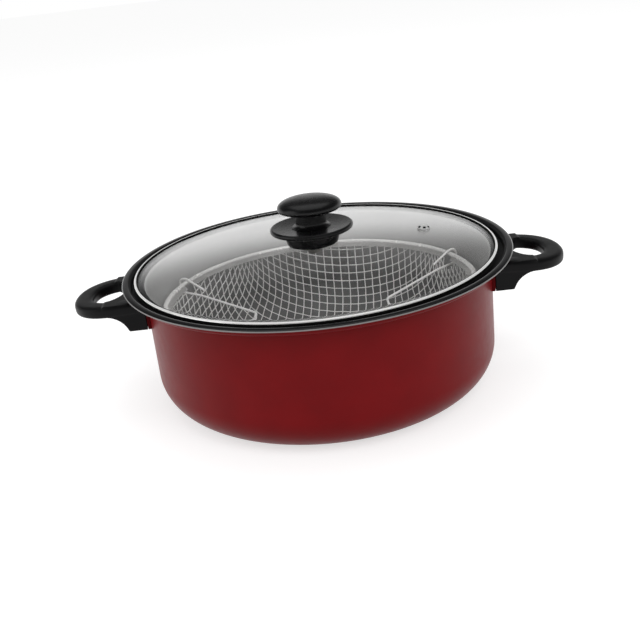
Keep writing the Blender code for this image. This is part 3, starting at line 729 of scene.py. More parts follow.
bracket_turn = math.degrees(math.asin(BRACKET_HALF_WIDTH / POT_RADIUS))
tongue_z = foot_bottom + RECESS_DEPTH + TONGUE_GAP
for side, turn in (("right", 0), ("left", math.pi)):
    plate_round = arc((0, 0), POT_RADIUS + BRACKET_SHEET, -bracket_turn, bracket_turn, PLATE_STEPS)
    plate_round += arc((0, 0), POT_RADIUS, bracket_turn, -bracket_turn, PLATE_STEPS)
    plate = flat_curve("bracket_plate_" + side, plate_round, True)
    plate.data.fill_mode = "BOTH"
    plate.data.extrude = BRACKET_HEIGHT / 2
    lift = Matrix.Translation((0, 0, foot_bottom + BRACKET_ABOVE_FOOT + BRACKET_HEIGHT / 2))
    near = (POT_RADIUS + BRACKET_SHEET / 2, -TONGUE_HALF_WIDTH, tongue_z)
    far = (POT_RADIUS + TONGUE_LENGTH, TONGUE_HALF_WIDTH, tongue_z + BRACKET_SHEET)
    bracket = combined(hardened(plate, lift), [block("bracket_tongue", near, far)], "UNION")
    bracket.data.transform(Matrix.Rotation(turn, 4, "Z"))
    bracket.data.materials.append(bracket_enamel_painted_shade)
    faces_out(bracket)
    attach(bracket, "pot")
    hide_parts("handle_bracket_" + side)

# The handles' screws and washers
# A zinc-plated pan-head screw goes up through each foot into the bracket's tongue, over a lock
# washer. They sit in the recess under the foot, so they show only from below.
BOLT_RADIUS = 0.0019
BOLT_HEAD_RADIUS = 0.0033
BOLT_HEAD_HEIGHT = 0.0025
BOLT_TOP = 0.0135
WASHER_PLAY = 0.0003
LOCK_WASHER_RADIUS = 0.0036
LOCK_WASHER_THICKNESS = 0.0010
CROSS_LENGTH = 0.0036
CROSS_WIDTH = 0.0008
CROSS_DEPTH = 0.0013

# Zinc plating: a soft grey metal with a slightly uneven, cloudy shine.
zinc = coat(
    "zinc_plated_steel", "#a9a9a2", "#bdbdb8",
    roughness=0.34, peel=0.0005, peel_depth=0.000008, metallic=1.0,
)


def cross_recess(head, x, low, depth, length, width):
    """Cuts a cross for the driver into a screw's head, from below."""
    cutters = []
    for half_x, half_y in ((length / 2, width / 2), (width / 2, length / 2)):
        corner = (x - half_x, -half_y, low - OVERRUN)
        other = (x + half_x, half_y, low + depth)
        cutters.append(block("driver_cross", corner, other))
    return combined(head, cutters, "DIFFERENCE")


washer_top = foot_bottom + RECESS_DEPTH - WASHER_PLAY
washer_low = washer_top - LOCK_WASHER_THICKNESS
head_top = washer_low - WASHER_PLAY
head_low = head_top - BOLT_HEAD_HEIGHT
head_round = BOLT_HEAD_HEIGHT / 2
bolt_section = [(0, foot_bottom + BOLT_TOP), (BOLT_RADIUS, foot_bottom + BOLT_TOP)]
bolt_section += [(BOLT_RADIUS, head_top), (BOLT_HEAD_RADIUS, head_top)]
bolt_section += arc((BOLT_HEAD_RADIUS - head_round, head_top - head_round), head_round, 0, -90, 10)
bolt_section.append((0, head_low))
washer_bore = BOLT_RADIUS + WASHER_PLAY
washer_section = [(washer_bore, washer_top), (LOCK_WASHER_RADIUS, washer_top)]
washer_section += [(LOCK_WASHER_RADIUS, washer_low), (washer_bore, washer_low)]
for side, x in (("right", bolt_x), ("left", -bolt_x)):
    screw = turned("handle_bolt_" + side, bolt_section, zinc, BOLT_STEPS, (x, 0))
    screw = cross_recess(screw, x, head_low, CROSS_DEPTH, CROSS_LENGTH, CROSS_WIDTH)
    faces_out(screw)
    washer = turned("lock_washer_" + side, washer_section, zinc, BOLT_STEPS, (x, 0), ring=True)
    for piece, node in ((screw, "handle_screw_"), (washer, "handle_washer_")):
        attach(piece, "pot")
        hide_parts(node + side)

# The lid's glass
# A domed disc of clear tempered glass, 3.7 mm thick, with ground edges, a hole in the middle for the
# knob's screw and one for the steam vent. It shows the basket below, under the room's reflection.
# The lid lies a little to the left in its seat, within its play, and rests on the step.
LID_SHIFT = -0.001
LID_PLAY = 0.0034
LID_REST = 0.0003
BAND_HEIGHT = 0.0055
BAND_SHEET = 0.0006
BAND_HEM = 0.0029
GLASS = 0.0037
DOME_RISE = 0.0094
GLASS_EDGE = 0.0005
SCREW_HOLE = 0.0033
VENT_REACH = 0.090
VENT_AZIMUTH = math.radians(12)
VENT_HOLE = 0.0033
LID_STEPS = 288
DOME_STEPS = 40
GLASS_TINT = "#fafafa"
GLASS_IOR = 1.5
SMEAR_WIDTH = 0.05
SMEAR_ROUGHNESS = 0.012

# Over 1, because the light that the glass bends isn't followed down to the basket.
LIGHT_UNDER_GLASS = 1.4

lid_axis = (LID_SHIFT, 0)
band_radius = seat_radius - LID_PLAY
band_z = ledge_z + LID_REST
glass_radius = band_radius - BAND_SHEET - LID_REST
dome_radius = band_radius - BAND_HEM - LID_REST
glass_z = band_z + BAND_SHEET + LID_REST
apex_z = glass_z + GLASS + DOME_RISE
dome_sphere = (dome_radius**2 + DOME_RISE**2) / (2 * DOME_RISE)


def make_glass_material():
    """Clear glass with a trace of smears and no tint that the eye can see; lamps shine through it."""
    material = bare_material("clear_tempered_glass")
    tree = material.node_tree
    place = add_node(tree, "ShaderNodeTexCoord").outputs["Object"]
    smear = grain(tree, place, SMEAR_WIDTH, 3, 0.0, SMEAR_ROUGHNESS)
    glass = add_node(
        tree,
        "ShaderNodeBsdfPrincipled",
        {
            "Base Color": linear(GLASS_TINT),
            "Roughness": smear,
            "IOR": GLASS_IOR,
            "Transmission Weight": 1.0,
        },
    )
    light = (LIGHT_UNDER_GLASS, LIGHT_UNDER_GLASS, LIGHT_UNDER_GLASS, 1)
    clear = add_node(tree, "ShaderNodeBsdfTransparent", {"Color": light})
    shadow = seen_by(tree, "Is Shadow Ray")
    mixed = add_node(tree, "ShaderNodeMixShader", {0: shadow, 1: glass.outputs[0], 2: clear.outputs[0]})
    add_node(tree, "ShaderNodeOutputMaterial", {"Surface": mixed.outputs[0]})
    return material


def dome_z(radius):
    """Height of the glass's upper face at a radius."""
    return apex_z - dome_sphere + math.sqrt(dome_sphere**2 - radius**2)


def vent_place():
    """The vent's own axis: square to the dome, its zero on the glass's upper face."""
    tilt = math.asin(VENT_REACH / dome_sphere)
    turn = Matrix.Rotation(VENT_AZIMUTH, 4, "Z")
    reach = turn @ Vector((VENT_REACH, 0, dome_z(VENT_REACH))) + Vector((LID_SHIFT, 0, 0))
    return Matrix.Translation(reach) @ turn @ Matrix.Rotation(tilt, 4, "Y")


radii = [SCREW_HOLE + (dome_radius - SCREW_HOLE) * i / DOME_STEPS for i in range(DOME_STEPS + 1)]
glass_section = [(radius, dome_z(radius)) for radius in radii]
glass_section += arc((glass_radius - GLASS_EDGE, glass_z + GLASS - GLASS_EDGE), GLASS_EDGE, 90, 0, 5)
glass_section += arc((glass_radius - GLASS_EDGE, glass_z + GLASS_EDGE), GLASS_EDGE, 0, -90, 5)
glass_section += [(radius, dome_z(radius) - GLASS) for radius in reversed(radii)]
tempered_glass = make_glass_material()
glass = turned("lid_glass_dome", glass_section, tempered_glass, LID_STEPS, lid_axis, ring=True)
vent_hole = rod("vent_hole", VENT_HOLE, -OVERRUN, OVERRUN, BOLT_STEPS, vent_place())
glass = combined(glass, [vent_hole], "DIFFERENCE")
faces_out(glass)
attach(glass, "lid")
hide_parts("lid_glass")

# The lid's band
# A strip of stainless steel rolled round the glass's edge and polished, with a narrow hem above and
# below. Its top is painted white round the lid, a painted highlight, and its turned-in edge is painted
# black, a painted shade that frames the glass.
BAND_ROUND = 0.0012
HEM_ROUND = 0.00028
HEM_TOP_WIDTH = 0.0018
# Faces of the band whose normals rise over this slope get the painted highlight.
TOP_SLOPE = 0.5

# Polished stainless steel: the strip's outer side mirrors the dark seat and the white room.
polished_steel = coat(
    "polished_stainless_steel", "#d9d9d7", "#e3e3e2",
    roughness=0.15, peel=0.0006, peel_depth=0.000003, metallic=1.0,
)
# The strip's top: steel painted plain white that mirrors nothing clearly, a painted highlight along the
# band.
steel_painted_highlight = coat(
    "stainless_steel_painted_highlight", "#f0f0ef", "#f6f6f5",
    roughness=0.3, peel=0.0006, peel_depth=0.000003, metallic=0.35,
)
# The strip's inner side and its turned-in edge: steel painted nearly black, a painted shade.
steel_painted_shade = coat(
    "stainless_steel_painted_shade", "#0e0e0e", "#151515",
    roughness=0.7, peel=0.0006, peel_depth=0.000003, specular=0.1,
)

band_top = band_z + BAND_HEIGHT
band_inner = band_radius - BAND_HEM
outer_x = band_radius - BAND_ROUND
inner_round_radius = BAND_ROUND - BAND_SHEET
band_section = [(band_inner, band_top - BAND_SHEET / 2), (band_radius - HEM_TOP_WIDTH, band_top)]
band_section += arc((outer_x, band_top - BAND_ROUND), BAND_ROUND, 90, 0, 10)
band_section += arc((outer_x, band_z + BAND_ROUND), BAND_ROUND, 0, -90, 10)
band_section += arc((band_inner + HEM_ROUND, band_z + BAND_SHEET / 2), HEM_ROUND, 270, 90, 6)
band_section += arc((outer_x, band_z + BAND_ROUND), inner_round_radius, -90, 0, 5)
band_section += arc((outer_x, band_top - BAND_ROUND), inner_round_radius, 0, 90, 5)
band_section.append((band_inner + HEM_ROUND, band_top - BAND_SHEET))


def band_finish(face):
    """The band's material on a face, by where it lies and which way it looks: painted shade inside, a
    painted highlight on top, polished steel elsewhere.
    """
    reach = math.hypot(face.center.x - LID_SHIFT, face.center.y)
    height = face.center.z
    turned_in = reach < band_radius - HEM_TOP_WIDTH and height > glass_z + GLASS / 2
    midway = band_z + BAND_SHEET / 2 < height < band_top - BAND_SHEET / 2
    if turned_in or (midway and reach < band_radius - BAND_SHEET / 2):
        return steel_painted_shade
    return steel_painted_highlight if face.normal.z > TOP_SLOPE else polished_steel


band = turned("lid_band", band_section, polished_steel, LID_STEPS, lid_axis, ring=True)
dress(band, [polished_steel, steel_painted_shade, steel_painted_highlight], band_finish)
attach(band, "lid")
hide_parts("lid_rim_band")

# The steam vent
# A little stainless eyelet clinched into the glass, with a domed cap that has a ring of slots under
# its crown. Steam leaves by the slots, which show as dark dashes on the bright cap, whose inside is
# painted dark, a painted shade.
VENT_FLANGE = 0.0052
VENT_TUBE = 0.0029
VENT_BORE = 0.0018
VENT_SHEET = 0.0006
VENT_CLINCH = 0.0045
CAP_FOOT = 0.0048
CAP_CROWN = 0.0017
VENT_SLOTS = 6
SLOT_REACH = 0.0042
SLOT_WIDTH = 0.0022
SLOT_HEIGHT = 0.0032
SLOT_LIFT = 0.0018
SLOT_DEPTH = 0.0018
CROWN_FULLNESS = 2.6
VENT_STEPS = 64

# What lies within this share of the cap's outline is its inside, which is painted dark, a painted shade.
INSIDE_SHARE = 0.93

# The cap's steel: left satin from the press, so it is light grey and mirrors nothing clearly.
satin_steel = coat(
    "satin_stainless_steel", "#c9c9c8", "#d3d3d2",
    roughness=0.42, peel=0.0006, peel_depth=0.000004, metallic=0.4,
)


def make_slot_tree():
    """Blocks set round a circle, each square to its radius: what is cut out of a cap."""
    inputs = (
        ("Slots", "NodeSocketInt"),
        ("Reach", "NodeSocketFloat"),
        ("Size", "NodeSocketVector"),
        ("Material", "NodeSocketMaterial"),
    )
    tree = new_tree("ring_of_slots", inputs)
    given = add_node(tree, "NodeGroupInput")
    ring = add_node(
        tree,
        "GeometryNodeCurvePrimitiveCircle",
        {"Resolution": given.outputs["Slots"], "Radius": given.outputs["Reach"]},
    )
    spots = add_node(tree, "GeometryNodeCurveToPoints", {"Curve": ring.outputs["Curve"]}, mode="EVALUATED")
    cube = add_node(tree, "GeometryNodeMeshCube", {"Size": given.outputs["Size"]})
    turn = add_node(tree, "FunctionNodeAlignEulerToVector", {"Vector": spots.outputs["Normal"]}, axis="X")
    placed = add_node(
        tree,
        "GeometryNodeInstanceOnPoints",
        {"Points": spots.outputs["Points"], "Instance": cube.outputs["Mesh"], "Rotation": turn.outputs[0]},
    )
    end_tree(tree, given, placed.outputs[0])
    return tree


def vent_finish(face):
    """The steel on a face of the vent, painted dark inside the cap as a painted shade."""
    across = math.hypot(face.center.x, face.center.y) / CAP_FOOT
    above = max(0, (face.center.z - cap_foot_z) / CAP_CROWN)
    inside_cap = across**CROWN_FULLNESS + above**CROWN_FULLNESS < INSIDE_SHARE
    return steel_painted_shade if inside_cap and face.center.z > 0 else satin_steel


# The section leaves out the bore's own wall, so the eyelet is open between its two ends.
lower = -GLASS - LID_REST
cap_foot_z = LID_REST + VENT_SHEET
vent_section = [(VENT_BORE, lower - VENT_SHEET), (VENT_CLINCH, lower - VENT_SHEET)]
vent_section += [(VENT_CLINCH, lower), (VENT_TUBE, lower), (VENT_TUBE, LID_REST), (VENT_FLANGE, LID_REST)]
vent_section += arc((VENT_FLANGE - VENT_SHEET / 2, LID_REST + VENT_SHEET / 2), VENT_SHEET / 2, 0, 90, 4)
crown = full_round(CAP_FOOT, CAP_CROWN, CROWN_FULLNESS, 0, 90, 12)
vent_section += [(x, cap_foot_z + y) for x, y in crown]
inner_crown = full_round(CAP_FOOT - VENT_SHEET, CAP_CROWN - VENT_SHEET, CROWN_FULLNESS, 90, 0, 10)
vent_section += [(x, cap_foot_z + y) for x, y in inner_crown]
vent_section.append((CAP_FOOT - VENT_SHEET, LID_REST + VENT_SHEET / 2))
vent_section.append((VENT_BORE, LID_REST + VENT_SHEET / 2))
vent = turned("steam_vent", vent_section, satin_steel, VENT_STEPS)
slots = grown(
    "vent_slots",
    bpy.data.meshes.new("vent_slots"),
    make_slot_tree(),
    {
        "Slots": VENT_SLOTS,
        "Reach": SLOT_REACH,
        "Size": (SLOT_DEPTH, SLOT_WIDTH, SLOT_HEIGHT),
        "Material": satin_steel,
    },
)
to_front = Matrix.Rotation(-VENT_AZIMUTH - math.pi / 2, 4, "Z")
slots.data.transform(Matrix.Translation((0, 0, cap_foot_z + SLOT_LIFT)) @ to_front)
vent = combined(vent, [slots], "DIFFERENCE")
dress(vent, [satin_steel, steel_painted_shade], vent_finish)
vent.data.transform(vent_place())
faces_out(vent)
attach(vent, "lid")
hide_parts("vent_eyelet")

# The knob
# Three turned phenolic mouldings, one on another: a short seat on the glass, a wide skirt that keeps
# the hand off it, and a grip like a mushroom, whose cap is fuller above than below.
SEAT_FOOT_RADIUS = 0.0196
SEAT_TOP_RADIUS = 0.0222
SEAT_HEIGHT = 0.0096
MOULDED_EDGE = 0.0008
SKIRT_RADIUS = 0.0321
SKIRT_THICKNESS = 0.0034
SKIRT_RISE = 0.0010
SKIRT_EDGE = 0.0019
STEM_RADIUS = 0.0116
STEM_HEIGHT = 0.0106
STEM_FLARE = 0.0034
CAP_RADIUS = 0.0247
CAP_LOWER = 0.0044
CAP_UPPER = 0.0078
CAP_FULLNESS = 2.4
KNOB_BORE = 0.0029
POCKET_RADIUS = 0.0053
POCKET_HEIGHT = 0.0138
PIECE_GAP = 0.0003
KNOB_STEPS = 128

# Degrees: the lean of the seat's side, how far the skirt's edge turns round each way from its
# middle, and how far the cap's underside turns in.
SEAT_LEAN = 10
SKIRT_EDGE_TURN = 96
CAP_TUCK = 78

# The knob's phenolic: pressed in a polished mould, so its cap greys softly under the lamps.
knob_phenolic = coat(
    "black_phenolic_polished", "#0a0a0b", "#0e0e0f",
    roughness=0.28, peel=0.0005, peel_depth=0.000003, specular=0.28,
)

seat_z = apex_z + PIECE_GAP
skirt_z = seat_z + SEAT_HEIGHT + PIECE_GAP
grip_z = skirt_z + SKIRT_THICKNESS + PIECE_GAP
cap_z = grip_z + STEM_HEIGHT
seat_top = seat_z + SEAT_HEIGHT

upper_edge = (SEAT_TOP_RADIUS - MOULDED_EDGE, seat_top - MOULDED_EDGE)
lower_edge = (SEAT_FOOT_RADIUS - MOULDED_EDGE, seat_z + MOULDED_EDGE)
seat_section = [(KNOB_BORE, seat_top)]
seat_section += arc(upper_edge, MOULDED_EDGE, 90, SEAT_LEAN, 6)
seat_section += arc(lower_edge, MOULDED_EDGE, -SEAT_LEAN, -90, 6)
seat_section.append((KNOB_BORE, seat_z))
skirt_top = skirt_z + SKIRT_THICKNESS
skirt_edge = (SKIRT_RADIUS - SKIRT_EDGE, skirt_top + SKIRT_RISE - SKIRT_EDGE)
skirt_section = [(KNOB_BORE, skirt_top), (SEAT_TOP_RADIUS - MOULDED_EDGE, skirt_top)]
skirt_section += arc(skirt_edge, SKIRT_EDGE, SKIRT_EDGE_TURN, -SKIRT_EDGE_TURN, 20)
skirt_section += [(SEAT_TOP_RADIUS + MOULDED_EDGE, skirt_z), (KNOB_BORE, skirt_z)]
grip_section = [(0, cap_z + CAP_LOWER + CAP_UPPER)]
upper_cap = full_round(CAP_RADIUS, CAP_UPPER, CAP_FULLNESS, 90, 0, 28)[1:]
lower_cap = full_round(CAP_RADIUS, CAP_LOWER, CAP_FULLNESS, 0, -CAP_TUCK, 14)[1:]
grip_section += [(x, cap_z + CAP_LOWER + y) for x, y in upper_cap + lower_cap]
grip_section += arc((STEM_RADIUS + MOULDED_EDGE, cap_z - MOULDED_EDGE), MOULDED_EDGE, 90, 180, 5)
grip_section += arc((STEM_RADIUS + STEM_FLARE, grip_z + STEM_FLARE), STEM_FLARE, 180, 270, 12)
pocket_z = grip_z + POCKET_HEIGHT
grip_section += [(POCKET_RADIUS, grip_z), (POCKET_RADIUS, pocket_z), (0, pocket_z)]
knob_pieces = (
    ("knob_base_moulding", seat_section, True, "knob_seat"),
    ("knob_skirt_moulding", skirt_section, True, "knob_skirt"),
    ("knob_grip_moulding", grip_section, False, "knob_grip"),
)
for name, section, ring, node in knob_pieces:
    piece = turned(name, section, knob_phenolic, KNOB_STEPS, lid_axis, ring)
    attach(piece, "lid")
    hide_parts(node)

# What holds the knob
# One steel screw comes up through a washer, a silicone gasket, the glass and the knob into a brass
# insert in the grip. The screw, washer and gasket show under the lid when it is lifted.
SCREW_RADIUS = 0.0026
SCREW_HEAD_RADIUS = 0.0050
SCREW_HEAD_HEIGHT = 0.0030
INSERT_RADIUS = 0.0050
INSERT_HEIGHT = 0.0135
GASKET_RADIUS = 0.0090
GASKET_THICKNESS = 0.0015
WASHER_RADIUS = 0.0085
WASHER_THICKNESS = 0.0010
EDGE_SOFTENING = WASHER_THICKNESS / 4
FASTENING_STEPS = 64

# Turned brass: a soft yellow metal with fine tool marks.
brass = coat(
    "turned_brass", "#b08a45", "#c29c55",
    roughness=0.28, peel=0.0004, peel_depth=0.000006, metallic=1.0,
)
# Silicone rubber: a matt mid grey with a dusty surface.
silicone = coat(
    "grey_silicone", "#6c6c6c", "#787878",
    roughness=0.62, peel=0.0005, peel_depth=0.00001,
)

insert_top = grip_z + INSERT_HEIGHT
gasket_top = dome_z(GASKET_RADIUS) - GLASS - PIECE_GAP
gasket_low = gasket_top - GASKET_THICKNESS
washer_top = gasket_low - PIECE_GAP
washer_low = washer_top - WASHER_THICKNESS
head_top = washer_low - PIECE_GAP
head_low = head_top - SCREW_HEAD_HEIGHT
screw_end = insert_top - SCREW_RADIUS


def washer_like(radius, low, high):
    """The section of a ring round the knob's bore, with softened outer edges."""
    edge_x = radius - EDGE_SOFTENING
    section = [(KNOB_BORE, high)]
    section += arc((edge_x, high - EDGE_SOFTENING), EDGE_SOFTENING, 90, 0, 4)
    section += arc((edge_x, low + EDGE_SOFTENING), EDGE_SOFTENING, 0, -90, 4)
    section.append((KNOB_BORE, low))
    return section


pan_round = MOULDED_EDGE * 2
screw_section = [(0, screw_end), (SCREW_RADIUS, screw_end), (SCREW_RADIUS, head_top)]
screw_section.append((SCREW_HEAD_RADIUS, head_top))
screw_section += arc((SCREW_HEAD_RADIUS - pan_round, head_low + pan_round), pan_round, 0, -90, 8)
screw_section.append((0, head_low))
rings = (
    ("knob_brass_insert", INSERT_RADIUS, grip_z, insert_top, brass, "knob_insert", "brass"),
    ("knob_gasket", GASKET_RADIUS, gasket_low, gasket_top, silicone, "lid_gasket", "silicone"),
    ("knob_washer", WASHER_RADIUS, washer_low, washer_top, zinc, "lid_washer", "zinc_steel"),
)
for name, radius, low, high, material, node, slot in rings:
    piece = turned(name, washer_like(radius, low, high), material, FASTENING_STEPS, lid_axis, ring=True)
    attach(piece, "lid")
    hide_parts(node)
screw = turned("knob_screw_pan_head", screw_section, zinc, FASTENING_STEPS, lid_axis)
screw = cross_recess(screw, LID_SHIFT, head_low, CROSS_DEPTH, SCREW_HEAD_RADIUS, CROSS_WIDTH)
faces_out(screw)
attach(screw, "lid")
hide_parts("knob_screw")

# The basket's hem
# A bright steel strip rolled round the top of the mesh. Its lower edge slants inwards and down over
# the cut ends of the wires, and is notched where the handles' hooks pass.
HEM_RADIUS = 0.122
HEM_BELOW_LEDGE = 0.0256
HEM_HALF_WIDTH = 0.0021
HEM_HALF_HEIGHT = 0.0016
HEM_STEPS = 32
BAIL_SPREAD = 0.050
NOTCH_WIDTH = 0.0120
NOTCH_DEPTH = 0.0075
NOTCH_TOP = 0.0005

# The strip leaves the oval between these two of its angles, in degrees, and its upper faces, which get
# the painted shade, are those whose normals rise over this slope.
STRIP_LENGTH = 0.0036
STRIP_FALL = math.radians(43)
STRIP_LOW_ANGLE = -130
STRIP_HIGH_ANGLE = -155
STRIP_SLOPE = 0.3

# Bright steel sheet: whiter and a little duller than the lid's band, from the rolling.
bright_steel = coat(
    "bright_rolled_steel", "#efeeec", "#f6f5f3",
    roughness=0.26, peel=0.0008, peel_depth=0.000006, metallic=0.3,
)
# The strip's slanting edge: the same steel painted grey, a painted shade.
hem_strip_painted_shade = coat(
    "rolled_steel_painted_shade", "#a3a2a0", "#adacaa",
    roughness=0.45, peel=0.0008, peel_depth=0.00001, metallic=0.3,
)

hem_z = ledge_z - HEM_BELOW_LEDGE
strip_way = Vector((-math.cos(STRIP_FALL), -math.sin(STRIP_FALL)))
hook_azimuth = math.asin(BAIL_SPREAD / HEM_RADIUS)


def hem_point(angle):
    """A point of the hem's oval section, by its angle in degrees."""
    turn = math.radians(angle)
    return Vector((HEM_RADIUS + HEM_HALF_WIDTH * math.cos(turn), hem_z + HEM_HALF_HEIGHT * math.sin(turn)))


def make_notches():
    """One block at each of the four hooks."""
    low_z = hem_z - NOTCH_DEPTH
    high_z = hem_z - NOTCH_TOP
    reach = HEM_RADIUS - HEM_HALF_WIDTH / 2
    work = bmesh.new()
    for azimuth in (hook_azimuth, math.pi - hook_azimuth, math.pi + hook_azimuth, -hook_azimuth):
        middle = Matrix.Translation((reach - OVERRUN / 2, 0, (low_z + high_z) / 2))
        size = Matrix.Diagonal((OVERRUN, NOTCH_WIDTH, high_z - low_z, 1))
        bmesh.ops.create_cube(work, size=1, matrix=Matrix.Rotation(azimuth, 4, "Z") @ middle @ size)
    return from_work("hook_notches", work)


def hem_finish(face):
    """The steel on a face of the hem, painted grey on its slanting strip as a painted shade."""
    reach = math.hypot(face.center.x, face.center.y)
    on_strip = reach < HEM_RADIUS - HEM_HALF_WIDTH and face.normal.z > STRIP_SLOPE
    return hem_strip_painted_shade if on_strip else bright_steel


sweep_start = 360 + STRIP_HIGH_ANGLE
sweep = STRIP_LOW_ANGLE - sweep_start
hem_section = [hem_point(sweep_start + sweep * i / HEM_STEPS) for i in range(HEM_STEPS + 1)]
strip_low = hem_point(STRIP_LOW_ANGLE) + strip_way * STRIP_LENGTH
strip_high = hem_point(STRIP_HIGH_ANGLE) + strip_way * STRIP_LENGTH
strip_end = (strip_low + strip_high) / 2 + strip_way * (strip_high - strip_low).length / 3
hem_section += [strip_low, strip_end, strip_high]
hem = turned("basket_hem", [tuple(point) for point in hem_section], bright_steel, BODY_STEPS, ring=True)
hem = combined(hem, [make_notches()], "DIFFERENCE")
dress(hem, [bright_steel, hem_strip_painted_shade], hem_finish)
faces_out(hem)
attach(hem, "basket")
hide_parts("basket_rim")

# The basket's mesh
# A flat sheet of square woven wire is pressed into a bowl. Its crossings hold and its wires keep
# their length, so the squares lean into diamonds up the wall between the two ways of the weave.
BASKET_CLEARANCE = 0.0003
MESH_INSET = 0.0020
MESH_THICKNESS = 0.0014
MESH_TAPER = math.radians(4)
MESH_ROUND = 0.028
MESH_PITCH = 0.0073
MESH_WIRE_RADIUS = 0.00045
MESH_WIRE_SIDES = 6
WEAVE_RISE = 0.00038
WEAVE_NORTH = math.radians(76.5)
WIRES_EACH_WAY = 27
NET_ROUNDS = 40
POINTS_A_CELL = 4

# The mesh is cut away where the handles' hooks swing through it.
SLIT_WIDTH = 0.0100
SLIT_DEPTH = 0.0112

# Tinned wire: thin bright wires that read as pale threads over the grey inside.
tinned_wire = coat(
    "tinned_steel_wire", "#f3f2f0", "#f9f8f7",
    roughness=0.35, peel=0.0012, peel_depth=0.000004, metallic=0.2,
)

basket_z = POT_FLOOR + BASKET_CLEARANCE
mesh_radius = HEM_RADIUS - MESH_INSET
lean = Vector((math.cos(MESH_TAPER), -math.sin(MESH_TAPER)))
rise = Vector((math.sin(MESH_TAPER), math.cos(MESH_TAPER)))
strip_root = hem_point(STRIP_LOW_ANGLE)
mesh_top = strip_root.y - (strip_root.x - mesh_radius) * math.tan(STRIP_FALL) - BASKET_CLEARANCE
wall_run = (mesh_top - basket_z - MESH_ROUND + MESH_ROUND * math.sin(MESH_TAPER)) / math.cos(MESH_TAPER)
round_centre = Vector((mesh_radius, mesh_top)) - rise * wall_run - lean * MESH_ROUND
middle_round = MESH_ROUND - MESH_THICKNESS / 2
round_turn = math.pi / 2 - MESH_TAPER
wall_start = round_centre.x + middle_round * round_turn


def on_bowl(run, azimuth):
    """A place on the bowl's middle surface, by its way up a meridian, and the outward direction there."""
    turn = min(max((run - round_centre.x) / middle_round, 0), round_turn)
    up_wall = max(run - wall_start, 0)
    reach = min(run, round_centre.x) + middle_round * math.sin(turn) + up_wall * rise.x
    height = round_centre.y - middle_round * math.cos(turn) + up_wall * rise.y
    across = Vector((math.cos(azimuth), math.sin(azimuth), 0))
    outward = across * math.sin(turn) - Vector((0, 0, math.cos(turn)))
    return across * reach + Vector((0, 0, height)), outward


def nearest_run(place):
    """The way up its meridian at which the bowl comes nearest to a place."""
    across = math.hypot(place.x, place.y) - round_centre.x
    above = place.z - round_centre.y
    if across < 0:
        return round_centre.x + across
    up_wall = (across - middle_round * lean.x) * rise.x + (above - middle_round * lean.y) * rise.y
    if up_wall > 0:
        return wall_start + up_wall
    return round_centre.x + middle_round * math.atan2(across, -above)


def next_crossing(one, other, before):
    """The crossing one pitch from two others: the far corner of a cell whose first corner is before."""
    place = one + other - before
    for _ in range(NET_ROUNDS):
        place, outward = on_bowl(nearest_run(place), math.atan2(place.y, place.x))
        ways = (place - one, place - other)
        short = [MESH_PITCH - way.length for way in ways]
        if max(abs(short[0]), abs(short[1])) < WELD:
            break
        slopes = Matrix((ways[0].normalized(), ways[1].normalized(), outward))
        step = slopes.inverted() @ Vector((*short, 0))
        place = place + step * min(1, MESH_PITCH / 2 / step.length)
    return place, outward


def straight_wire(azimuth):
    """The crossings of a wire that runs up a meridian."""
    crossings = [on_bowl(0, azimuth)]
    run = 0
    for _ in range(WIRES_EACH_WAY):
        last = crossings[-1][0]
        run += MESH_PITCH
        for _ in range(NET_ROUNDS):
            run += MESH_PITCH - (on_bowl(run, azimuth)[0] - last).length
        crossings.append(on_bowl(run, azimuth))
    return crossings


def quarter_net():
    """A quarter of the weave: each crossing and its outward direction, by its number both ways."""
    net = {}
    for i, (east, north) in enumerate(zip(straight_wire(0), straight_wire(math.pi / 2))):
        net[i, 0] = east
        net[0, i] = north
    for i in range(1, WIRES_EACH_WAY + 1):
        for j in range(1, WIRES_EACH_WAY + 1):
            net[i, j] = next_crossing(net[i - 1, j][0], net[i, j - 1][0], net[i - 1, j - 1][0])
    return net


def smooth_runs(points):
    """Points between a wire's crossings, on a Catmull-Rom curve."""
    padded = [2 * points[0] - points[1]] + points + [2 * points[-1] - points[-2]]
    result = []
    for a, b, c, d in zip(padded, padded[1:], padded[2:], padded[3:]):
        for step in range(POINTS_A_CELL):
            t = step / POINTS_A_CELL
            bend = (2 * a - 5 * b + 4 * c - d) * t**2 + (3 * b - a - 3 * c + d) * t**3
            result.append((2 * b + (c - a) * t + bend) / 2)
    result.append(points[-1])
    return result


def in_slit(point):
    """Whether a place lies in one of the slits that the handles' hooks pass through."""
    off_axis = abs(abs(point[1]) - abs(point[0]) * math.tan(hook_azimuth)) * math.cos(hook_azimuth)
    return point[2] > hem_z - SLIT_DEPTH and off_axis < SLIT_WIDTH / 2


def kept_runs(points):
    """The stretches of a wire below the hem and clear of the slits, cut off at the hem's line."""
    runs = []
    run = []
    for before, point in zip([None] + points[:-1], points):
        keep = point[2] <= mesh_top and not in_slit(point)
        if keep:
            run.append(point)
        elif run:
            if point[2] > mesh_top > before[2]:
                share = (mesh_top - before[2]) / (point[2] - before[2])
                run.append(before + (point - before) * share)
            runs.append(run)
            run = []
    runs.append(run)
    return [run for run in runs if len(run) > 2]


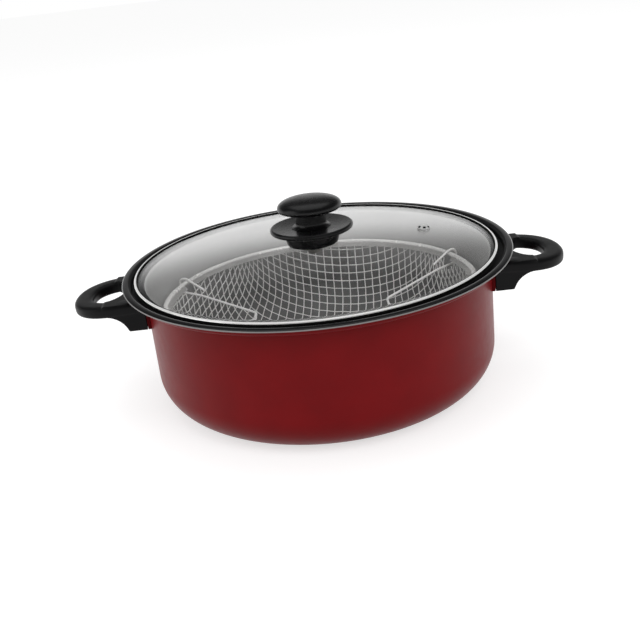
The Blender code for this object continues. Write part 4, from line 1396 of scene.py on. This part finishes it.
def make_wire_tree():
    """A round wire along every path of the geometry given, with closed ends."""
    inputs = (("Radius", "NodeSocketFloat"), ("Sides", "NodeSocketInt"), ("Material", "NodeSocketMaterial"))
    tree = new_tree("wire_along_paths", inputs)
    given = add_node(tree, "NodeGroupInput")
    paths = add_node(tree, "GeometryNodeMeshToCurve", {"Mesh": given.outputs["Geometry"]})
    circle = add_node(
        tree,
        "GeometryNodeCurvePrimitiveCircle",
        {"Resolution": given.outputs["Sides"], "Radius": given.outputs["Radius"]},
    )
    skin = add_node(
        tree,
        "GeometryNodeCurveToMesh",
        {"Curve": paths.outputs[0], "Profile Curve": circle.outputs["Curve"], "Fill Caps": True},
    )
    end_tree(tree, given, skin.outputs[0])
    return tree


WIRE_TREE = make_wire_tree()


def wired(name, runs, radius, sides, material):
    """Wires along runs of points, as one plain mesh."""
    mesh = bpy.data.meshes.new(name)
    places = [place for run in runs for place in run]
    edges = []
    first = 0
    for run in runs:
        edges += [(first + i, first + i + 1) for i in range(len(run) - 1)]
        first += len(run)
    mesh.from_pydata(places, edges, [])
    obj = grown(name, mesh, WIRE_TREE, {"Radius": radius, "Sides": sides, "Material": material})
    obj.data.shade_smooth()
    return obj


net = quarter_net()
weave_turn = Matrix.Rotation(WEAVE_NORTH, 3, "Z")
numbers = range(-WIRES_EACH_WAY, WIRES_EACH_WAY + 1)
for name, way in (("basket_mesh_warp", 1), ("basket_mesh_weft", -1)):
    runs = []
    for i in numbers:
        wire = []
        for j in numbers:
            x, y = (i, j) if way > 0 else (j, i)
            place, outward = net[abs(x), abs(y)]
            sway = way * WEAVE_RISE * (1 if (i + j) % 2 else -1)
            flip = Matrix.Diagonal((math.copysign(1, x), math.copysign(1, y), 1))
            wire.append(weave_turn @ flip @ (place + outward * sway))
        runs += kept_runs(smooth_runs(wire))
    piece = wired(name, runs, MESH_WIRE_RADIUS, MESH_WIRE_SIDES, tinned_wire)
    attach(piece, "basket")
    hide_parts("basket_net")

# The basket's handles
# Each is one length of bright wire, nearly 2 mm thick, bent over a jig: two fingers, hooks round the
# hem, and a loop that narrows to its nose. At rest both lie folded in over the food.
BAIL_WIRE_RADIUS = 0.00092
BAIL_WIRE_SIDES = 16
HOOK_ROUND = 0.0047
HOOK_TAIL = 0.0075
HOOK_SHIFT = 0.0014
HOOK_LOWER = 0.0012
HINGE_OUT = 0.0010
KNEE_IN = 0.0016
KNEE_UP = 0.0029
FINGER_LENGTH = 0.0166
FINGER_DROP = 0.0056
SHOULDER_IN = 0.0130
SHOULDER_NARROWING = 0.0070
SHOULDER_DROP = 0.0100
NOSE_REACH = 0.0595
NOSE_HALF_WIDTH = 0.0075
NOSE_DROP = 0.0170
SHOULDER_ROUND = 0.0060
NOSE_ROUND = 0.0060
KNEE_ROUND = 0.0030
BEND_STEPS = 10
HOOK_STEPS = 12
ELLIPSE = 2

hinge = Vector((math.sqrt(HEM_RADIUS**2 - BAIL_SPREAD**2) + HINGE_OUT, 0, hem_z))


def rounded(points, radii):
    """A path with each inner corner replaced by an arc of its own radius."""
    path = [points[0]]
    for before, corner, after, radius in zip(points, points[1:], points[2:], radii):
        to_before = (before - corner).normalized()
        to_after = (after - corner).normalized()
        half = to_before.angle(to_after) / 2
        centre = corner + (to_before + to_after).normalized() * radius / math.sin(half)
        start = corner + to_before * radius / math.tan(half) - centre
        end = corner + to_after * radius / math.tan(half) - centre
        turn = start.angle(end)
        for i in range(BEND_STEPS + 1):
            share = i / BEND_STEPS
            way = start * math.sin((1 - share) * turn) + end * math.sin(share * turn)
            path.append(centre + way / math.sin(turn))
    path.append(points[-1])
    return path


def on_hook(radius, height):
    """A place in the upright plane of the right bail's hook."""
    return Vector((radius * math.cos(hook_azimuth), radius * math.sin(hook_azimuth), height))


hook_centre = (HEM_RADIUS + HOOK_SHIFT, hem_z - HOOK_LOWER)
tip = on_hook(HEM_RADIUS - FINGER_LENGTH, hem_z - FINGER_DROP)
knee = on_hook(HEM_RADIUS - KNEE_IN, hem_z + KNEE_UP)
hook_round = full_round(HOOK_ROUND, HOOK_ROUND, ELLIPSE, 90, 0, HOOK_STEPS)
hook_round += full_round(HOOK_ROUND, HOOK_TAIL, ELLIPSE, 0, -90, HOOK_STEPS)[1:]
hook = [on_hook(hook_centre[0] + x, hook_centre[1] + y) for x, y in hook_round]
shoulder = hinge + Vector((-SHOULDER_IN, BAIL_SPREAD - SHOULDER_NARROWING, -SHOULDER_DROP))
nose = hinge + Vector((-NOSE_REACH, NOSE_HALF_WIDTH, -NOSE_DROP))
across = hinge + Vector((-NOSE_REACH, 0, -NOSE_DROP))
half_path = rounded([tip, knee, hook[0]], [KNEE_ROUND])[:-1] + hook[:-1]
half_path += rounded([hook[-1], shoulder, nose, across], [SHOULDER_ROUND, NOSE_ROUND])[:-1]
bail_path = half_path + [Vector((point.x, -point.y, point.z)) for point in reversed(half_path)]
for side, turn in (("right", 0), ("left", math.pi)):
    path = [Matrix.Rotation(turn, 3, "Z") @ point for point in bail_path]
    bail = wired("basket_bail_" + side, [path], BAIL_WIRE_RADIUS, BAIL_WIRE_SIDES, tinned_wire)
    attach(bail, "bail_" + side)
    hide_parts("basket_handle_" + side)
